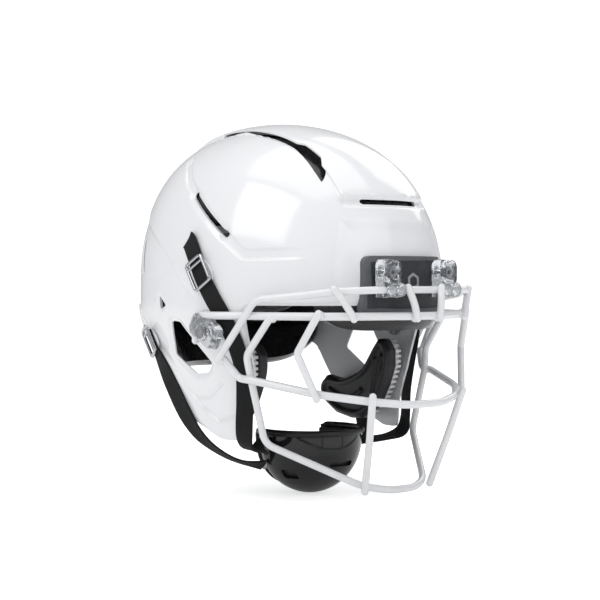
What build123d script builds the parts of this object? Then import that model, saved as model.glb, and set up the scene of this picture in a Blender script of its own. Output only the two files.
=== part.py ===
from build123d import *
import math
import os

# American football helmet. Millimetres, +Z up, the helmet faces -Y, the wearer's right is -X.
# The origin is the centre of the head cavity, level with the brow edge of the shell.

os.makedirs("parts", exist_ok=True)

# ---- driving dimensions -------------------------------------------------------------------
shell_width = 238.0          # widest, just above the ears
shell_length = 300.0         # brow to occiput
crown_height = 156.0         # above the brow edge
jaw_depth = 118.0            # jaw flap tip, below the brow edge
wall = 3.8                   # moulded polycarbonate wall
crown_setback = 18.0         # how far the crown lies behind the middle
jaw_taper = 0.16             # share by which the shell narrows at the jaw
jaw_fall = 52.0              # height over which it narrows
ridge_rise = 3.2             # raised centre band over the crown
ridge_half = 45.5            # half width of that band
nape_depth = 56.0            # rear edge, below the brow edge
liner_gap = 0.3              # between the shell and the pads
liner_thick = 22.0           # padding

brow_edge = -3.0             # height of the brow edge
flap_front = -57.0           # front edge of the jaw flap

slot_width = 4.2             # ventilation slots
front_slot_length = 66.0
front_slot_height = 83.0
side_slot_length = 64.0

wire_heavy = 6.6             # eye bar and mouth bar
wire_light = 6.1             # the other bars
pivot_reach = 9.75           # the guard's pivot, in front of the back of the front clips
pivot_z = 10.0
pivot_run = 50.0             # half length of that straight middle
pivot_clearance = 0.08       # radial, top bar in the front clips

clip_in = 23.5               # front clip, from this x ...
clip_wide = 20.0             # ... and this wide
clip_wall = 3.2
clip_screw_z = 24.5
screw_r = 2.4
screw_head_r = 5.0
screw_head_h = 3.0
screw_clearance = 0.1
nut_barrel_r = 4.1
nut_flange_r = 8.0
nut_flange_t = 2.0
bumper_thick = 3.4
bumper_half = 47.0
bumper_top = 38.0
bumper_bottom = -9.0

side_clip_in = 0.4           # inner face of the side clips, inside the shell's widest line
side_clip_thick = 8.6
side_clip_length = 36.0
side_clip_height = 22.0
side_clip_tilt = 30.0
side_screw_forward = -30.0    # the side screws, forward of the middle
side_screw_z = -25.5
side_screw_gap = 1.0         # turned-out screw end to the shell

strap_width = 16.0
strap_thick = 1.7
strap_gap = 0.4              # strap to shell
buckle_long = 27.0
buckle_wide = 21.5
buckle_bar = 2.6
buckle_gap = 0.9             # buckle frame to strap
stud_r = 6.5

jaw_depth_in = 49.0          # face of the jaw pad, inside the shell's widest line
jaw_pad_thick = 13.0
jaw_carrier_thick = 7.0
jaw_snap_r = 5.0
jaw_snap_clearance = 0.08

cup_y = -24.0                # chin cup centre
cup_z = -121.0
cup_r = 47.0
cup_tall = 51.0
cup_wall = 2.6
cup_pad_thick = 6.0

half_width = shell_width / 2
half_length = shell_length / 2
flap_tip = -jaw_depth

# The edges, windows and routes below are drawn on a shell of the drawn size, and placed on
# this one by its width and length.
drawn_half_width = 119.0
drawn_half_length = 150.0
drawn_pivot_y = -160.5
wide = half_width / drawn_half_width
long = half_length / drawn_half_length


def on_side(points):
    """Side view outline, as y and z, placed on this shell."""
    return [(y * long, z) for y, z in points]


# ---- the shell's form ---------------------------------------------------------------------
def share_at(z, grow):
    """Size of the level section at height z, as a share of the widest one."""
    if z > 0:
        ratio = z / (crown_height + grow)
        return (1 - ratio ** 2.6) ** (1 / 2.1)
    return 1 - jaw_taper * (1 - math.exp(-((z / jaw_fall) ** 2)))


def centre_at(z):
    """Y of the middle of the level section at height z."""
    return crown_setback * (max(z, 0) / crown_height) ** 2


def side_x(y, z, grow=0.0):
    """Half width of the outer surface, grown outwards, at this y and z."""
    share = share_at(z, grow)
    along = abs(y - centre_at(z)) / ((half_length + grow) * share)
    power = 2.0 if y < centre_at(z) else 2.3
    return (half_width + grow) * share * (1 - along ** power) ** (1 / power)


def front_y(x, z, grow=0.0):
    """Y of the front of the outer surface, grown outwards, at this x and z."""
    share = share_at(z, grow)
    across = abs(x) / ((half_width + grow) * share)
    return centre_at(z) - (half_length + grow) * share * math.sqrt(1 - across ** 2)


def level_section(z, grow, count=32):
    """Points of the level section at height z: rounder in front, squarer behind."""
    share = share_at(z, grow)
    points = []
    for step in range(count):
        turn = 2 * math.pi * step / count
        power = 2.0 if math.sin(turn) < 0 else 2.3
        cosine, sine = math.cos(turn), math.sin(turn)
        x = math.copysign(abs(cosine) ** (2 / power), cosine) * (half_width + grow) * share
        y = math.copysign(abs(sine) ** (2 / power), sine) * (half_length + grow) * share
        points.append((x, y + centre_at(z)))
    return points


section_levels = [-0.10, -0.06, 0.0, 0.14, 0.28, 0.42, 0.55, 0.67, 0.78, 0.87, 0.94, 0.985]
section_depths = [-1.06, -0.98, -0.88, -0.76, -0.63, -0.5, -0.37, -0.24, -0.11]


def head_form(grow, floor=0.0):
    """Closed solid of the helmet's outer form, grown outwards by a distance."""
    levels = [depth * jaw_depth - floor for depth in section_depths]
    levels += [level * (crown_height + grow) for level in section_levels]
    with BuildPart() as form:
        for z in sorted(levels):
            with BuildSketch(Plane.XY.offset(z)):
                with BuildLine():
                    Spline(*level_section(z, grow), periodic=True)
                make_face()
        loft()
    return form.part


outer_form = head_form(0.0)
cavity_form = head_form(-wall, 2.0)
ridge_form = head_form(ridge_rise)
bumper_form = head_form(bumper_thick)
liner_back = head_form(-wall - liner_gap, 1.0)
liner_face = head_form(-wall - liner_gap - liner_thick, 3.0)


# places of the guard's clips on this shell
clip_mid = clip_in + clip_wide / 2
clip_back = front_y(clip_in, 0, bumper_thick) - 0.2
clip_front = clip_back - 7.0
pivot_y = clip_back - pivot_reach
guard_long = pivot_y / drawn_pivot_y
side_clip_x = half_width - side_clip_in
side_screw_y = side_screw_forward * guard_long


def both_sides(points):
    """A plan outline and its mirror image."""
    return [points, [(-x, y) for x, y in reversed(points)]]


ridge_front = front_y(0, 86.0) + 8
ridge_plan = [
    (-ridge_half, ridge_front),
    (-ridge_half + 2, 10),
    (-ridge_half + 9, 96 * long),
    (ridge_half - 9, 96 * long),
    (ridge_half - 2, 10),
    (ridge_half, ridge_front),
]

# long ventilation gap beside the centre band, wide at its front end
gap_plan = [
    (-ridge_half + 1.5, 44),
    (-ridge_half - 1.5, -14),
    (-ridge_half - 3, -57),
    (-ridge_half + 2, -65),
    (-ridge_half + 2, -84),
    (-ridge_half - 4, -94),
    (-ridge_half - 8.5, -99),
    (-ridge_half - 8, -88),
    (-ridge_half - 6.5, -74),
    (-ridge_half - 5.5, -57),
    (-ridge_half - 3.5, -14),
    (-ridge_half - 3, 44),
]
gap_plan = [(x, y * long) for x, y in gap_plan]

ear_window = on_side([(17, -18), (30, -17), (36, -47), (9, -63), (-8, -61), (-15, -53)])
small_vent = on_side([(47, 5), (35, -4), (45, -8)])

# ---- shell --------------------------------------------------------------------------------
with BuildPart() as shell:
    add(outer_form)
    with BuildPart(mode=Mode.PRIVATE) as ridge:
        add(ridge_form)
        with BuildSketch(Plane.XY.offset(70)):
            Polygon(*ridge_plan, align=None)
        extrude(amount=crown_height, mode=Mode.INTERSECT)
    add(ridge.part)
    add(cavity_form, mode=Mode.SUBTRACT)
    # face opening and lower edge, cut from side to side
    with BuildSketch(Plane.YZ):
        with BuildLine():
            edge = FilletPolyline(
                *on_side(
                    [
                        (-240, brow_edge),
                        (flap_front - 3, brow_edge),
                        (flap_front, -62),
                        (flap_front + 11, -96),
                        (flap_front + 12, flap_tip),
                        (-22, flap_tip),
                        (30, -97),
                        (51, -71),
                        (70, -44),
                        (103, -36),
                        (240, -nape_depth - 14),
                    ]
                ),
                radius=[13, 20, 20, 9, 25, 20, 30, 20, 30],
            )
            Line(edge @ 1, (240 * long, -240))
            Line((240 * long, -240), (-240 * long, -240))
            Line((-240 * long, -240), edge @ 0)
        make_face()
    extrude(amount=shell_width, both=True, mode=Mode.SUBTRACT)
    # ventilation gaps beside the ridge
    for outline in both_sides(gap_plan):
        with BuildSketch(Plane.XY.offset(60)):
            Polygon(*outline, align=None)
        extrude(amount=crown_height, mode=Mode.SUBTRACT)
    # front slot
    with BuildSketch(Plane.XZ):
        with Locations((0, front_slot_height)):
            SlotOverall(front_slot_length, slot_width)
    extrude(amount=shell_length, mode=Mode.SUBTRACT)
    # side slots, ear windows and small vents, cut from side to side
    with BuildSketch(Plane.YZ):
        with Locations((-14 * long, 74)):
            SlotOverall(side_slot_length, slot_width, rotation=36)
        with Locations((92 * long, 40)):
            SlotOverall(30, slot_width, rotation=76)
        Polygon(*ear_window, align=None)
        Polygon(*small_vent, align=None)
    extrude(amount=shell_width, both=True, mode=Mode.SUBTRACT)
    # rear slots, either side of the middle
    with BuildSketch(Plane.XZ):
        with Locations((-26, 52), (26, 52)):
            SlotOverall(30, slot_width)
    extrude(amount=-shell_length, mode=Mode.SUBTRACT)
    # holes for the four guard screws' nuts
    with Locations(Plane.XZ):
        for side in (-1, 1):
            with Locations((side * (clip_in + clip_wide / 2), clip_screw_z)):
                Cylinder(
                    nut_barrel_r + screw_clearance,
                    shell_length,
                    align=(Align.CENTER, Align.CENTER, Align.MIN),
                    mode=Mode.SUBTRACT,
                )
    with Locations(Plane.YZ):
        with Locations((side_screw_y, side_screw_z)):
            Cylinder(nut_barrel_r + screw_clearance, shell_width * 1.2, mode=Mode.SUBTRACT)
shell.part.label = "shell"


# ---- padding ------------------------------------------------------------------------------
def pad_between(name, low, high, cuts=()):
    """The part of the liner layer that lies in a box, without the given solids."""
    size = [top - bottom for bottom, top in zip(low, high)]
    middle = [(top + bottom) / 2 for bottom, top in zip(low, high)]
    with BuildPart() as pad:
        add(liner_back)
        add(liner_face, mode=Mode.SUBTRACT)
        with Locations(tuple(middle)):
            Box(*size, mode=Mode.INTERSECT)
        for cut in cuts:
            add(cut, mode=Mode.SUBTRACT)
    pad.part.label = name
    return pad


pad_split = 58.0             # height where the crown pad starts
pad_joint = 1.0              # gap between neighbouring pads
front_line = -92.0 * long    # between the brow pad and the side pads
rear_line = 62.0 * long      # between the side pads and the rear pad

with BuildPart() as nut_room:
    with Locations(Plane.XZ.offset(-front_y(clip_in + clip_wide, clip_screw_z, -wall) - 12)):
        for side in (-1, 1):
            with Locations((side * (clip_in + clip_wide / 2), clip_screw_z)):
                Cylinder(nut_flange_r + 1, 40, align=(Align.CENTER, Align.CENTER, Align.MIN))

crown_pad = pad_between(
    "crown_pad",
    (-shell_width, -shell_length, pad_split + pad_joint),
    (shell_width, shell_length, 2 * crown_height),
)
brow_pad = pad_between(
    "brow_pad", (-62 * wide, -shell_length, -26), (62 * wide, front_line, pad_split), [nut_room.part]
)
rear_pad = pad_between(
    "rear_pad", (-shell_width, rear_line, -nape_depth - 10), (shell_width, shell_length, pad_split)
)
side_pads = {}
for hand, low_x, high_x in (("right", -shell_width, -40), ("left", 40, shell_width)):
    side_pads[hand] = pad_between(
        "side_pad_" + hand,
        (low_x, front_line + pad_joint, -10),
        (high_x, rear_line - pad_joint, pad_split),
    )

# ---- front bumper -------------------------------------------------------------------------
with BuildPart() as front_bumper:
    add(bumper_form)
    add(outer_form, mode=Mode.SUBTRACT)
    with BuildSketch(Plane.XZ) as bumper_face:
        with BuildLine():
            rim = FilletPolyline(
                (-bumper_half - 3, bumper_bottom),
                (-bumper_half, 4),
                (-bumper_half + 2, bumper_top),
                (bumper_half - 2, bumper_top),
                (bumper_half, 4),
                (bumper_half + 3, bumper_bottom),
                radius=[20, 9, 9, 20],
            )
            Line(rim @ 0, rim @ 1)
        make_face()
    extrude(amount=shell_length, mode=Mode.INTERSECT)
    with Locations(Plane.XZ):
        for side in (-1, 1):
            with Locations((side * (clip_in + clip_wide / 2), clip_screw_z)):
                Cylinder(
                    nut_barrel_r + screw_clearance,
                    shell_length,
                    align=(Align.CENTER, Align.CENTER, Align.MIN),
                    mode=Mode.SUBTRACT,
                )
front_bumper.part.label = "front_bumper"

# ---- front clips, their screws and nuts ---------------------------------------------------
loop_r = wire_light / 2 + pivot_clearance + clip_wall


def front_clip(side, name):
    """Clear clip: a plate on the bumper with a loop below it round the top bar."""
    with BuildPart() as clip:
        start = clip_in if side > 0 else -clip_in - clip_wide
        with BuildSketch(Plane.YZ.offset(start)):
            with Locations(((clip_back + clip_front) / 2, pivot_z + 12)):
                RectangleRounded(clip_back - clip_front, 26, 2.5)
            with Locations(((clip_back + pivot_y) / 2, pivot_z)):
                Rectangle(clip_back - pivot_y, 2 * loop_r)
            with Locations((pivot_y, pivot_z)):
                Circle(loop_r)
                Circle(wire_light / 2 + pivot_clearance, mode=Mode.SUBTRACT)
        extrude(amount=clip_wide)
        with Locations(Plane.XZ):
            with Locations((side * clip_mid, clip_screw_z)):
                Cylinder(screw_r + screw_clearance, 2 * shell_length, mode=Mode.SUBTRACT)
    clip.part.label = name
    return clip


front_clips = {"right": front_clip(-1, "front_clip_right"), "left": front_clip(1, "front_clip_left")}
nut_flange_y = front_y(clip_in + clip_wide, clip_screw_z, -wall) + 5.5

with BuildPart() as front_screws:
    for side in (-1, 1):
        with Locations(Plane.XZ.offset(-clip_front)):
            with Locations((side * clip_mid, clip_screw_z)):
                Cylinder(screw_head_r, screw_head_h, align=(Align.CENTER, Align.CENTER, Align.MIN))
                Cylinder(
                    screw_r,
                    nut_flange_y + nut_flange_t - clip_front,
                    align=(Align.CENTER, Align.CENTER, Align.MAX),
                )
    # hexagonal sockets
    with BuildSketch(Plane.XZ.offset(-clip_front + screw_head_h)):
        with Locations((-clip_mid, clip_screw_z), (clip_mid, clip_screw_z)):
            RegularPolygon(2.0, 6)
    extrude(amount=-screw_head_h * 0.7, mode=Mode.SUBTRACT)
front_screws.part.label = "front_screws"

with BuildPart() as front_nuts:
    for side in (-1, 1):
        with Locations(Plane.XZ.offset(-nut_flange_y)):
            with Locations((side * clip_mid, clip_screw_z)):
                Cylinder(
                    nut_barrel_r,
                    nut_flange_y - clip_back - 0.1,
                    align=(Align.CENTER, Align.CENTER, Align.MIN),
                )
                Cylinder(
                    nut_flange_r, nut_flange_t, align=(Align.CENTER, Align.CENTER, Align.MAX)
                )
        with Locations(Plane.XZ):
            with Locations((side * clip_mid, clip_screw_z)):
                Cylinder(screw_r + 0.05, 2 * shell_length, mode=Mode.SUBTRACT)
front_nuts.part.label = "front_nuts"

# ---- faceguard ----------------------------------------------------------------------------
heavy = wire_heavy / 2
light = wire_light / 2


def placed(points):
    """A route of the guard, placed round this shell."""
    return [(x * wide, y * guard_long, z) for x, y, z in points]


def mirrored(points):
    """A half route from the wearer's right to the middle, continued to the left."""
    half = placed(points)
    return half + [(-x, y, z) for x, y, z in reversed(half)]


def bar(route, radii, radius):
    """One bent bar along a route of straight runs joined by arcs."""
    with BuildPart() as rod:
        with BuildLine():
            path = FilletPolyline(*route, radius=radii)
        with BuildSketch(Plane(origin=path @ 0, z_dir=path % 0)):
            Circle(radius)
        sweep(path=path)
    return rod.part


top_route = mirrored(
    [
        (-123, -45.8, -48),
        (-112, -80.1, 1.8),
        (-95, -116, 5.2),
        (-77, -139, 8.6),
        (-pivot_run - 6, drawn_pivot_y, pivot_z),
    ]
)
top_radii = [16, 60, 60, 30]
eye_route = mirrored(
    [
        (-121.5, -14, -33),
        (-122.5, -17, -11.5),
        (-122.8, -38, -11.5),
        (-113.6, -61, -11.5),
        (-104, -88, -11.5),
        (-84, -129, -11.5),
        (-64, -145, -11.5),
        (-13, -165, -11.5),
    ]
)
eye_radii = [9, 40, 60, 90, 60, 60, 60]
mouth_route = mirrored(
    [
        (-118.2, -48, -48),
        (-110.5, -58, -63.4),
        (-108.3, -70.6, -64.5),
        (-82, -125, -75),
        (-51, -153.5, -80.5),
        (-20, -165, -84),
    ]
)
mouth_radii = [9, 25, 70, 60, 60]
lower_route = mirrored(
    [
        (-104, -90, -13),
        (-108, -64.5, -44.3),
        (-104.6, -66.5, -64),
        (-88.9, -66, -118.8),
        (-36.5, -129, -153),
        (-15, -140, -157),
    ]
)
lower_radii = [12, 20, 14, 40, 30]


def full(radii, middle):
    """Corner radii of a mirrored route, with the two corners next to the middle."""
    return radii[:-1] + [middle, middle] + list(reversed(radii[:-1]))


guard = {
    "top_bar": bar(top_route, full(top_radii, 24), light),
    "eye_bar": bar(eye_route, full(eye_radii, 60), heavy),
    "mouth_bar": bar(mouth_route, full(mouth_radii, 50), heavy),
    "lower_loop": bar(lower_route, full(lower_radii, 40), light),
}


def paired(route, radii, radius):
    """A bar and its mirror image, as two solids."""
    one = bar(placed(route), radii, radius)
    return Compound([one, mirror(one, about=Plane.YZ)])


guard["cheek_bars"] = paired(
    [(-88.5, -131.5, -9), (-98.5, -116.5, -41.4), (-87, -127.5, -78)], [6], light
)
guard["front_uprights"] = paired(
    [(-54, -158.6, -76), (-47, -147.5, -115), (-39, -134.2, -156.5)], [400], light
)
guard["inner_struts"] = paired(
    [(-20, -165, 12), (-16, -168.6, -1), (-13.5, -169.5, -13.5)], [60], light
)
guard["outer_struts"] = paired(
    [(-80.5, -141.2, 10.6), (-72, -146.2, -1), (-66, -149.2, -13.5)], [120], light
)


# ---- side clips and their screws ----------------------------------------------------------
def side_clip(side, name):
    """Clear side clip, clamped round the hooked end of the eye bar."""
    with BuildPart() as clip:
        with BuildSketch(Plane.YZ.offset(side_clip_x if side > 0 else -side_clip_x)):
            with Locations((side_screw_y + 1.5, side_screw_z + 1.5)):
                RectangleRounded(side_clip_length, side_clip_height, 8, rotation=side_clip_tilt)
        extrude(amount=side * side_clip_thick)
        chamfer(clip.faces().sort_by(Axis.X)[-1 if side > 0 else 0].edges(), 2.2)
        with Locations(Plane.YZ):
            with Locations((side_screw_y, side_screw_z)):
                Cylinder(screw_r + screw_clearance, 2 * shell_width, mode=Mode.SUBTRACT)
    clip.part.label = name
    return clip


side_clips = {"right": side_clip(-1, "side_clip_right"), "left": side_clip(1, "side_clip_left")}
side_head_x = side_clip_x + side_clip_thick
side_screw_end = side_x(side_screw_y + 4, side_screw_z + 4) + side_screw_gap

with BuildPart() as side_screws:
    for side in (-1, 1):
        with Locations(Plane.YZ.offset(side * side_head_x)):
            with Locations((side_screw_y, side_screw_z)):
                outward = Align.MIN if side > 0 else Align.MAX
                inward = Align.MAX if side > 0 else Align.MIN
                Cylinder(screw_head_r, screw_head_h, align=(Align.CENTER, Align.CENTER, outward))
                Cylinder(
                    screw_r,
                    side_head_x - side_screw_end,
                    align=(Align.CENTER, Align.CENTER, inward),
                )
side_screws.part.label = "side_screws"

side_nut_x = side_x(side_screw_y - 8, side_screw_z - 8, -wall) - 1.5
with BuildPart() as side_nuts:
    for side in (-1, 1):
        with Locations(Plane.YZ.offset(side * side_nut_x)):
            with Locations((side_screw_y, side_screw_z)):
                outward = Align.MIN if side > 0 else Align.MAX
                inward = Align.MAX if side > 0 else Align.MIN
                Cylinder(
                    nut_barrel_r,
                    side_screw_end - side_screw_gap - side_nut_x - 0.4,
                    align=(Align.CENTER, Align.CENTER, outward),
                )
                Cylinder(nut_flange_r, nut_flange_t, align=(Align.CENTER, Align.CENTER, inward))
    with Locations(Plane.YZ):
        with Locations((side_screw_y, side_screw_z)):
            Cylinder(screw_r + 0.05, 2 * shell_width, mode=Mode.SUBTRACT)
side_nuts.part.label = "side_nuts"

# ---- jaw pads -----------------------------------------------------------------------------
jaw_pad_in = half_width - jaw_depth_in
jaw_split = jaw_pad_in + jaw_pad_thick
jaw_out = jaw_split + jaw_carrier_thick
jaw_outline = [
    (-36, -36),
    (-24, -52),
    (-14, -66),
    (12, -76),
    (33, -72),
    (43, -84),
    (36, -98),
    (20, -108),
    (0, -112),
    (-16, -111),
    (-34, -99),
    (-45, -80),
    (-52, -62),
    (-52, -46),
    (-45, -36),
]
jaw_outline = on_side(jaw_outline)
jaw_snap_spots = on_side([(-36, -66), (4, -94)])


def jaw_piece(side, near, far, shrink, name):
    """A slab of the jaw pad between two distances from the middle."""
    with BuildPart() as slab:
        with BuildSketch(Plane.YZ.offset(side * near)):
            Polygon(*jaw_outline, align=None)
            if shrink:
                offset(amount=-shrink, kind=Kind.INTERSECTION)
            fillet(vertices(), 3)
        extrude(amount=side * (far - near))
    slab.part.label = name
    return slab


jaw_pads = {}
jaw_carriers = {}
for hand, side in (("right", -1), ("left", 1)):
    jaw_pads[hand] = jaw_piece(side, jaw_pad_in, jaw_split, 0.0, "jaw_pad_" + hand)
    jaw_carriers[hand] = jaw_piece(side, jaw_split, jaw_out, 1.5, "jaw_carrier_" + hand)
    with BuildPart() as drilled:
        add(jaw_carriers[hand].part)
        with Locations(Plane.YZ.offset(side * jaw_out)):
            for spot in jaw_snap_spots:
                with Locations(spot):
                    Cylinder(
                        jaw_snap_r + jaw_snap_clearance,
                        12,
                        mode=Mode.SUBTRACT,
                    )
    drilled.part.label = "jaw_carrier_" + hand
    jaw_carriers[hand] = drilled

with BuildPart() as jaw_snaps:
    for side in (-1, 1):
        for spot in jaw_snap_spots:
            reach = side_x(spot[0], spot[1], -wall / 2) - jaw_out + 5
            with Locations(Plane.YZ.offset(side * (jaw_out - 5))):
                with Locations(spot):
                    outward = Align.MIN if side > 0 else Align.MAX
                    Cylinder(
                        jaw_snap_r, reach + wall, align=(Align.CENTER, Align.CENTER, outward)
                    )
    add(cavity_form, mode=Mode.INTERSECT)
jaw_snaps.part.label = "jaw_snaps"


# ---- chin cup -----------------------------------------------------------------------------
def ellipsoid(centre, across, tall):
    """A closed ellipsoid at a place: its level radius and its upright one."""
    with BuildPart() as egg:
        with BuildSketch(Plane.XZ):
            Ellipse(across, tall)
            with Locations((-across, 0)):
                Rectangle(2 * across, 3 * tall, mode=Mode.SUBTRACT)
        revolve(axis=Axis.Z)
    return Pos(*centre) * egg.part


cup_rim = cup_z + 6.0
cup_middle = (0, cup_y, cup_z)
cup_cut = ellipsoid(cup_middle, cup_r - cup_wall, cup_tall - cup_wall)
with BuildPart() as chin_cup:
    add(ellipsoid(cup_middle, cup_r, cup_tall))
    add(cup_cut, mode=Mode.SUBTRACT)
    with Locations((0, cup_y + 20, cup_rim + 60)):
        Box(4 * cup_r, 4 * cup_r, 120, mode=Mode.SUBTRACT)
    with Locations((0, cup_y + 70, cup_z)):
        Box(4 * cup_r, 90, 4 * cup_tall, mode=Mode.SUBTRACT)
    # vent windows in the cheeks of the cup
    with BuildSketch(Plane.YZ):
        with Locations((cup_y - 12, cup_z - 31)):
            RectangleRounded(14, 8, 2.5)
    extrude(amount=2 * cup_r, both=True, mode=Mode.SUBTRACT)
chin_cup.part.label = "chin_cup"

with BuildPart() as chin_pad:
    add(cup_cut)
    pad_back = cup_wall + cup_pad_thick
    add(ellipsoid(cup_middle, cup_r - pad_back, cup_tall - pad_back), mode=Mode.SUBTRACT)
    with Locations((0, cup_y + 20, cup_rim + 61)):
        Box(4 * cup_r, 4 * cup_r, 120, mode=Mode.SUBTRACT)
    with Locations((0, cup_y + 66, cup_z)):
        Box(4 * cup_r, 90, 4 * cup_tall, mode=Mode.SUBTRACT)
chin_pad.part.label = "chin_pad"

rivet_spots = [(cup_y + 12, cup_z - 6), (cup_y + 12, cup_z - 24)]
with BuildPart() as chin_rivets:
    for side in (-1, 1):
        for y, z in rivet_spots:
            out = cup_r * math.sqrt(1 - ((y - cup_y) / cup_r) ** 2 - ((z - cup_z) / cup_tall) ** 2)
            with Locations(Plane.YZ.offset(side * (out + strap_thick + 1.2))):
                with Locations((y, z)):
                    Cylinder(3.4, 3.8, align=(Align.CENTER, Align.CENTER, Align.CENTER))
chin_rivets.part.label = "chin_rivets"


# ---- straps, buckles and studs ------------------------------------------------------------
def on_shell(y, z, lift):
    """A point above the right side of the shell."""
    return Vector(-side_x(y, z, lift), y, z)


def outward_at(point):
    """Outward direction of the right side of the shell beside a point."""
    y, z = point.Y, max(point.Z, flap_tip)
    rise_y = (side_x(y + 1, z) - side_x(y - 1, z)) / 2
    rise_z = (side_x(y, z + 1) - side_x(y, z - 1)) / 2
    return Vector(-1, -rise_y, -rise_z).normalized()


def strap(stations, name, side):
    """Flat webbing through stations: a point, and the way its face is turned there."""
    points = [point for point, _ in stations]
    with BuildPart() as web:
        for index, (point, facing) in enumerate(stations):
            before = points[max(index - 1, 0)]
            after = points[min(index + 1, len(points) - 1)]
            run = (after - before).normalized()
            across = run.cross(facing).normalized()
            with BuildSketch(Plane(origin=point, x_dir=across, z_dir=run)):
                Rectangle(strap_width, strap_thick)
        loft(ruled=True)
    solid = web.part if side < 0 else mirror(web.part, about=Plane.YZ)
    with BuildPart() as piece:
        add(solid)
    piece.part.label = name
    return piece


lift = strap_gap + strap_thick / 2 + 1.4


def beside(y, z, extra):
    """A station of a strap that lies on the shell."""
    point = on_shell(y * long, z, lift + extra)
    return point, outward_at(point)


def hanging(x, y, z, turned):
    """A station of a strap below the shell's edge, and the way it is turned."""
    return Vector(x * wide, y * long, z), turned


front_stations = [
    beside(-4, 48, 0.0),
    beside(-19, 24, 0.0),
    beside(-32, 4, -0.3),
    beside(-43, -14, -0.7),
    beside(-50, -36, 0.4),
    beside(-52, -60, 1.2),
    beside(-50, -84, 2.0),
    beside(-49, -108, 3.0),
    hanging(-94, -47, -121.5, Vector(-0.8, 0, -0.6)),
    hanging(-80, -40, -127, Vector(-0.35, 0, -0.94)),
    hanging(-62, -28, -129, Vector(-0.5, 0, -0.85)),
    (Vector(-cup_r - 2.6, cup_y + 6, cup_z - 6), Vector(-1, 0, -0.2)),
]
rear_stations = [
    beside(74, -28, 0.6),
    beside(66, -44, 1.6),
    hanging(-103, 46, -72, Vector(-1, -0.2, -0.2)),
    hanging(-104, 24, -98, Vector(-1, -0.1, -0.1)),
    hanging(-99, 8, -118, Vector(-0.85, 0, -0.5)),
    hanging(-84, 0, -132, Vector(-0.5, 0, -0.87)),
    hanging(-66, -6, -141, Vector(-0.5, 0, -0.87)),
    (Vector(-cup_r + 0.6, cup_y + 9, cup_z - 24), Vector(-0.9, 0, -0.45)),
]
straps = {}
for hand, side in (("right", -1), ("left", 1)):
    straps["front_strap_" + hand] = strap(front_stations, "front_strap_" + hand, side)
    straps["rear_strap_" + hand] = strap(rear_stations, "rear_strap_" + hand, side)


def frame_plane(spot, upper, lower):
    """Plane lying on the strap: x across it, y along it, z outwards."""
    run = (upper - lower).normalized()
    across = run.cross(outward_at(spot)).normalized()
    return Plane(origin=spot, x_dir=across, z_dir=across.cross(run))


front_spot = front_stations[1][0]
rear_spot = (rear_stations[0][0] + rear_stations[1][0]) * 0.5
front_plane = frame_plane(front_spot, front_stations[0][0], front_stations[2][0])
rear_plane = frame_plane(rear_spot, rear_stations[0][0], rear_stations[1][0])


def buckle(plane, side, name):
    """Wire frame buckle with a cross bar, lying over the strap."""
    with BuildPart() as frame:
        with BuildSketch(plane.offset(strap_thick / 2 + buckle_gap)):
            RectangleRounded(buckle_wide, buckle_long, 3)
            RectangleRounded(
                buckle_wide - 2 * buckle_bar, buckle_long - 2 * buckle_bar, 1.5, mode=Mode.SUBTRACT
            )
            with Locations((0, buckle_long * 0.22)):
                Rectangle(buckle_wide - buckle_bar, 2.0)
        extrude(amount=buckle_bar)
    solid = frame.part if side < 0 else mirror(frame.part, about=Plane.YZ)
    with BuildPart() as piece:
        add(solid)
    piece.part.label = name
    return piece


buckles = {}
for hand, side in (("right", -1), ("left", 1)):
    buckles["front_buckle_" + hand] = buckle(front_plane, side, "front_buckle_" + hand)
    buckles["rear_buckle_" + hand] = buckle(rear_plane, side, "rear_buckle_" + hand)

with BuildPart() as snap_studs:
    for plane in (front_plane, rear_plane):
        with BuildSketch(plane.offset(-strap_thick / 2 - 0.5)):
            Circle(stud_r)
        extrude(amount=-wall)
    mirror(snap_studs.part, about=Plane.YZ)
    add(outer_form, mode=Mode.SUBTRACT)
snap_studs.part.label = "snap_studs"

# ---- files --------------------------------------------------------------------------------
pieces = [shell, crown_pad, brow_pad, rear_pad, front_bumper, front_screws, front_nuts]
pieces += [side_screws, side_nuts, jaw_snaps, chin_cup, chin_pad, chin_rivets, snap_studs]
for group in (side_pads, front_clips, side_clips, jaw_pads, jaw_carriers, straps, buckles):
    pieces += list(group.values())
for piece in pieces:
    export_step(piece.part, "parts/" + piece.part.label + ".step")
for name, solid in guard.items():
    solid.label = name
    export_step(solid, "parts/" + name + ".step")
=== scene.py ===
"""American football helmet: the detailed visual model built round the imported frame."""
import logging
import math
from collections.abc import Callable, Sequence
from dataclasses import dataclass, field
from enum import Enum

import bpy
import numpy as np
from mathutils import Matrix, Vector


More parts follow.
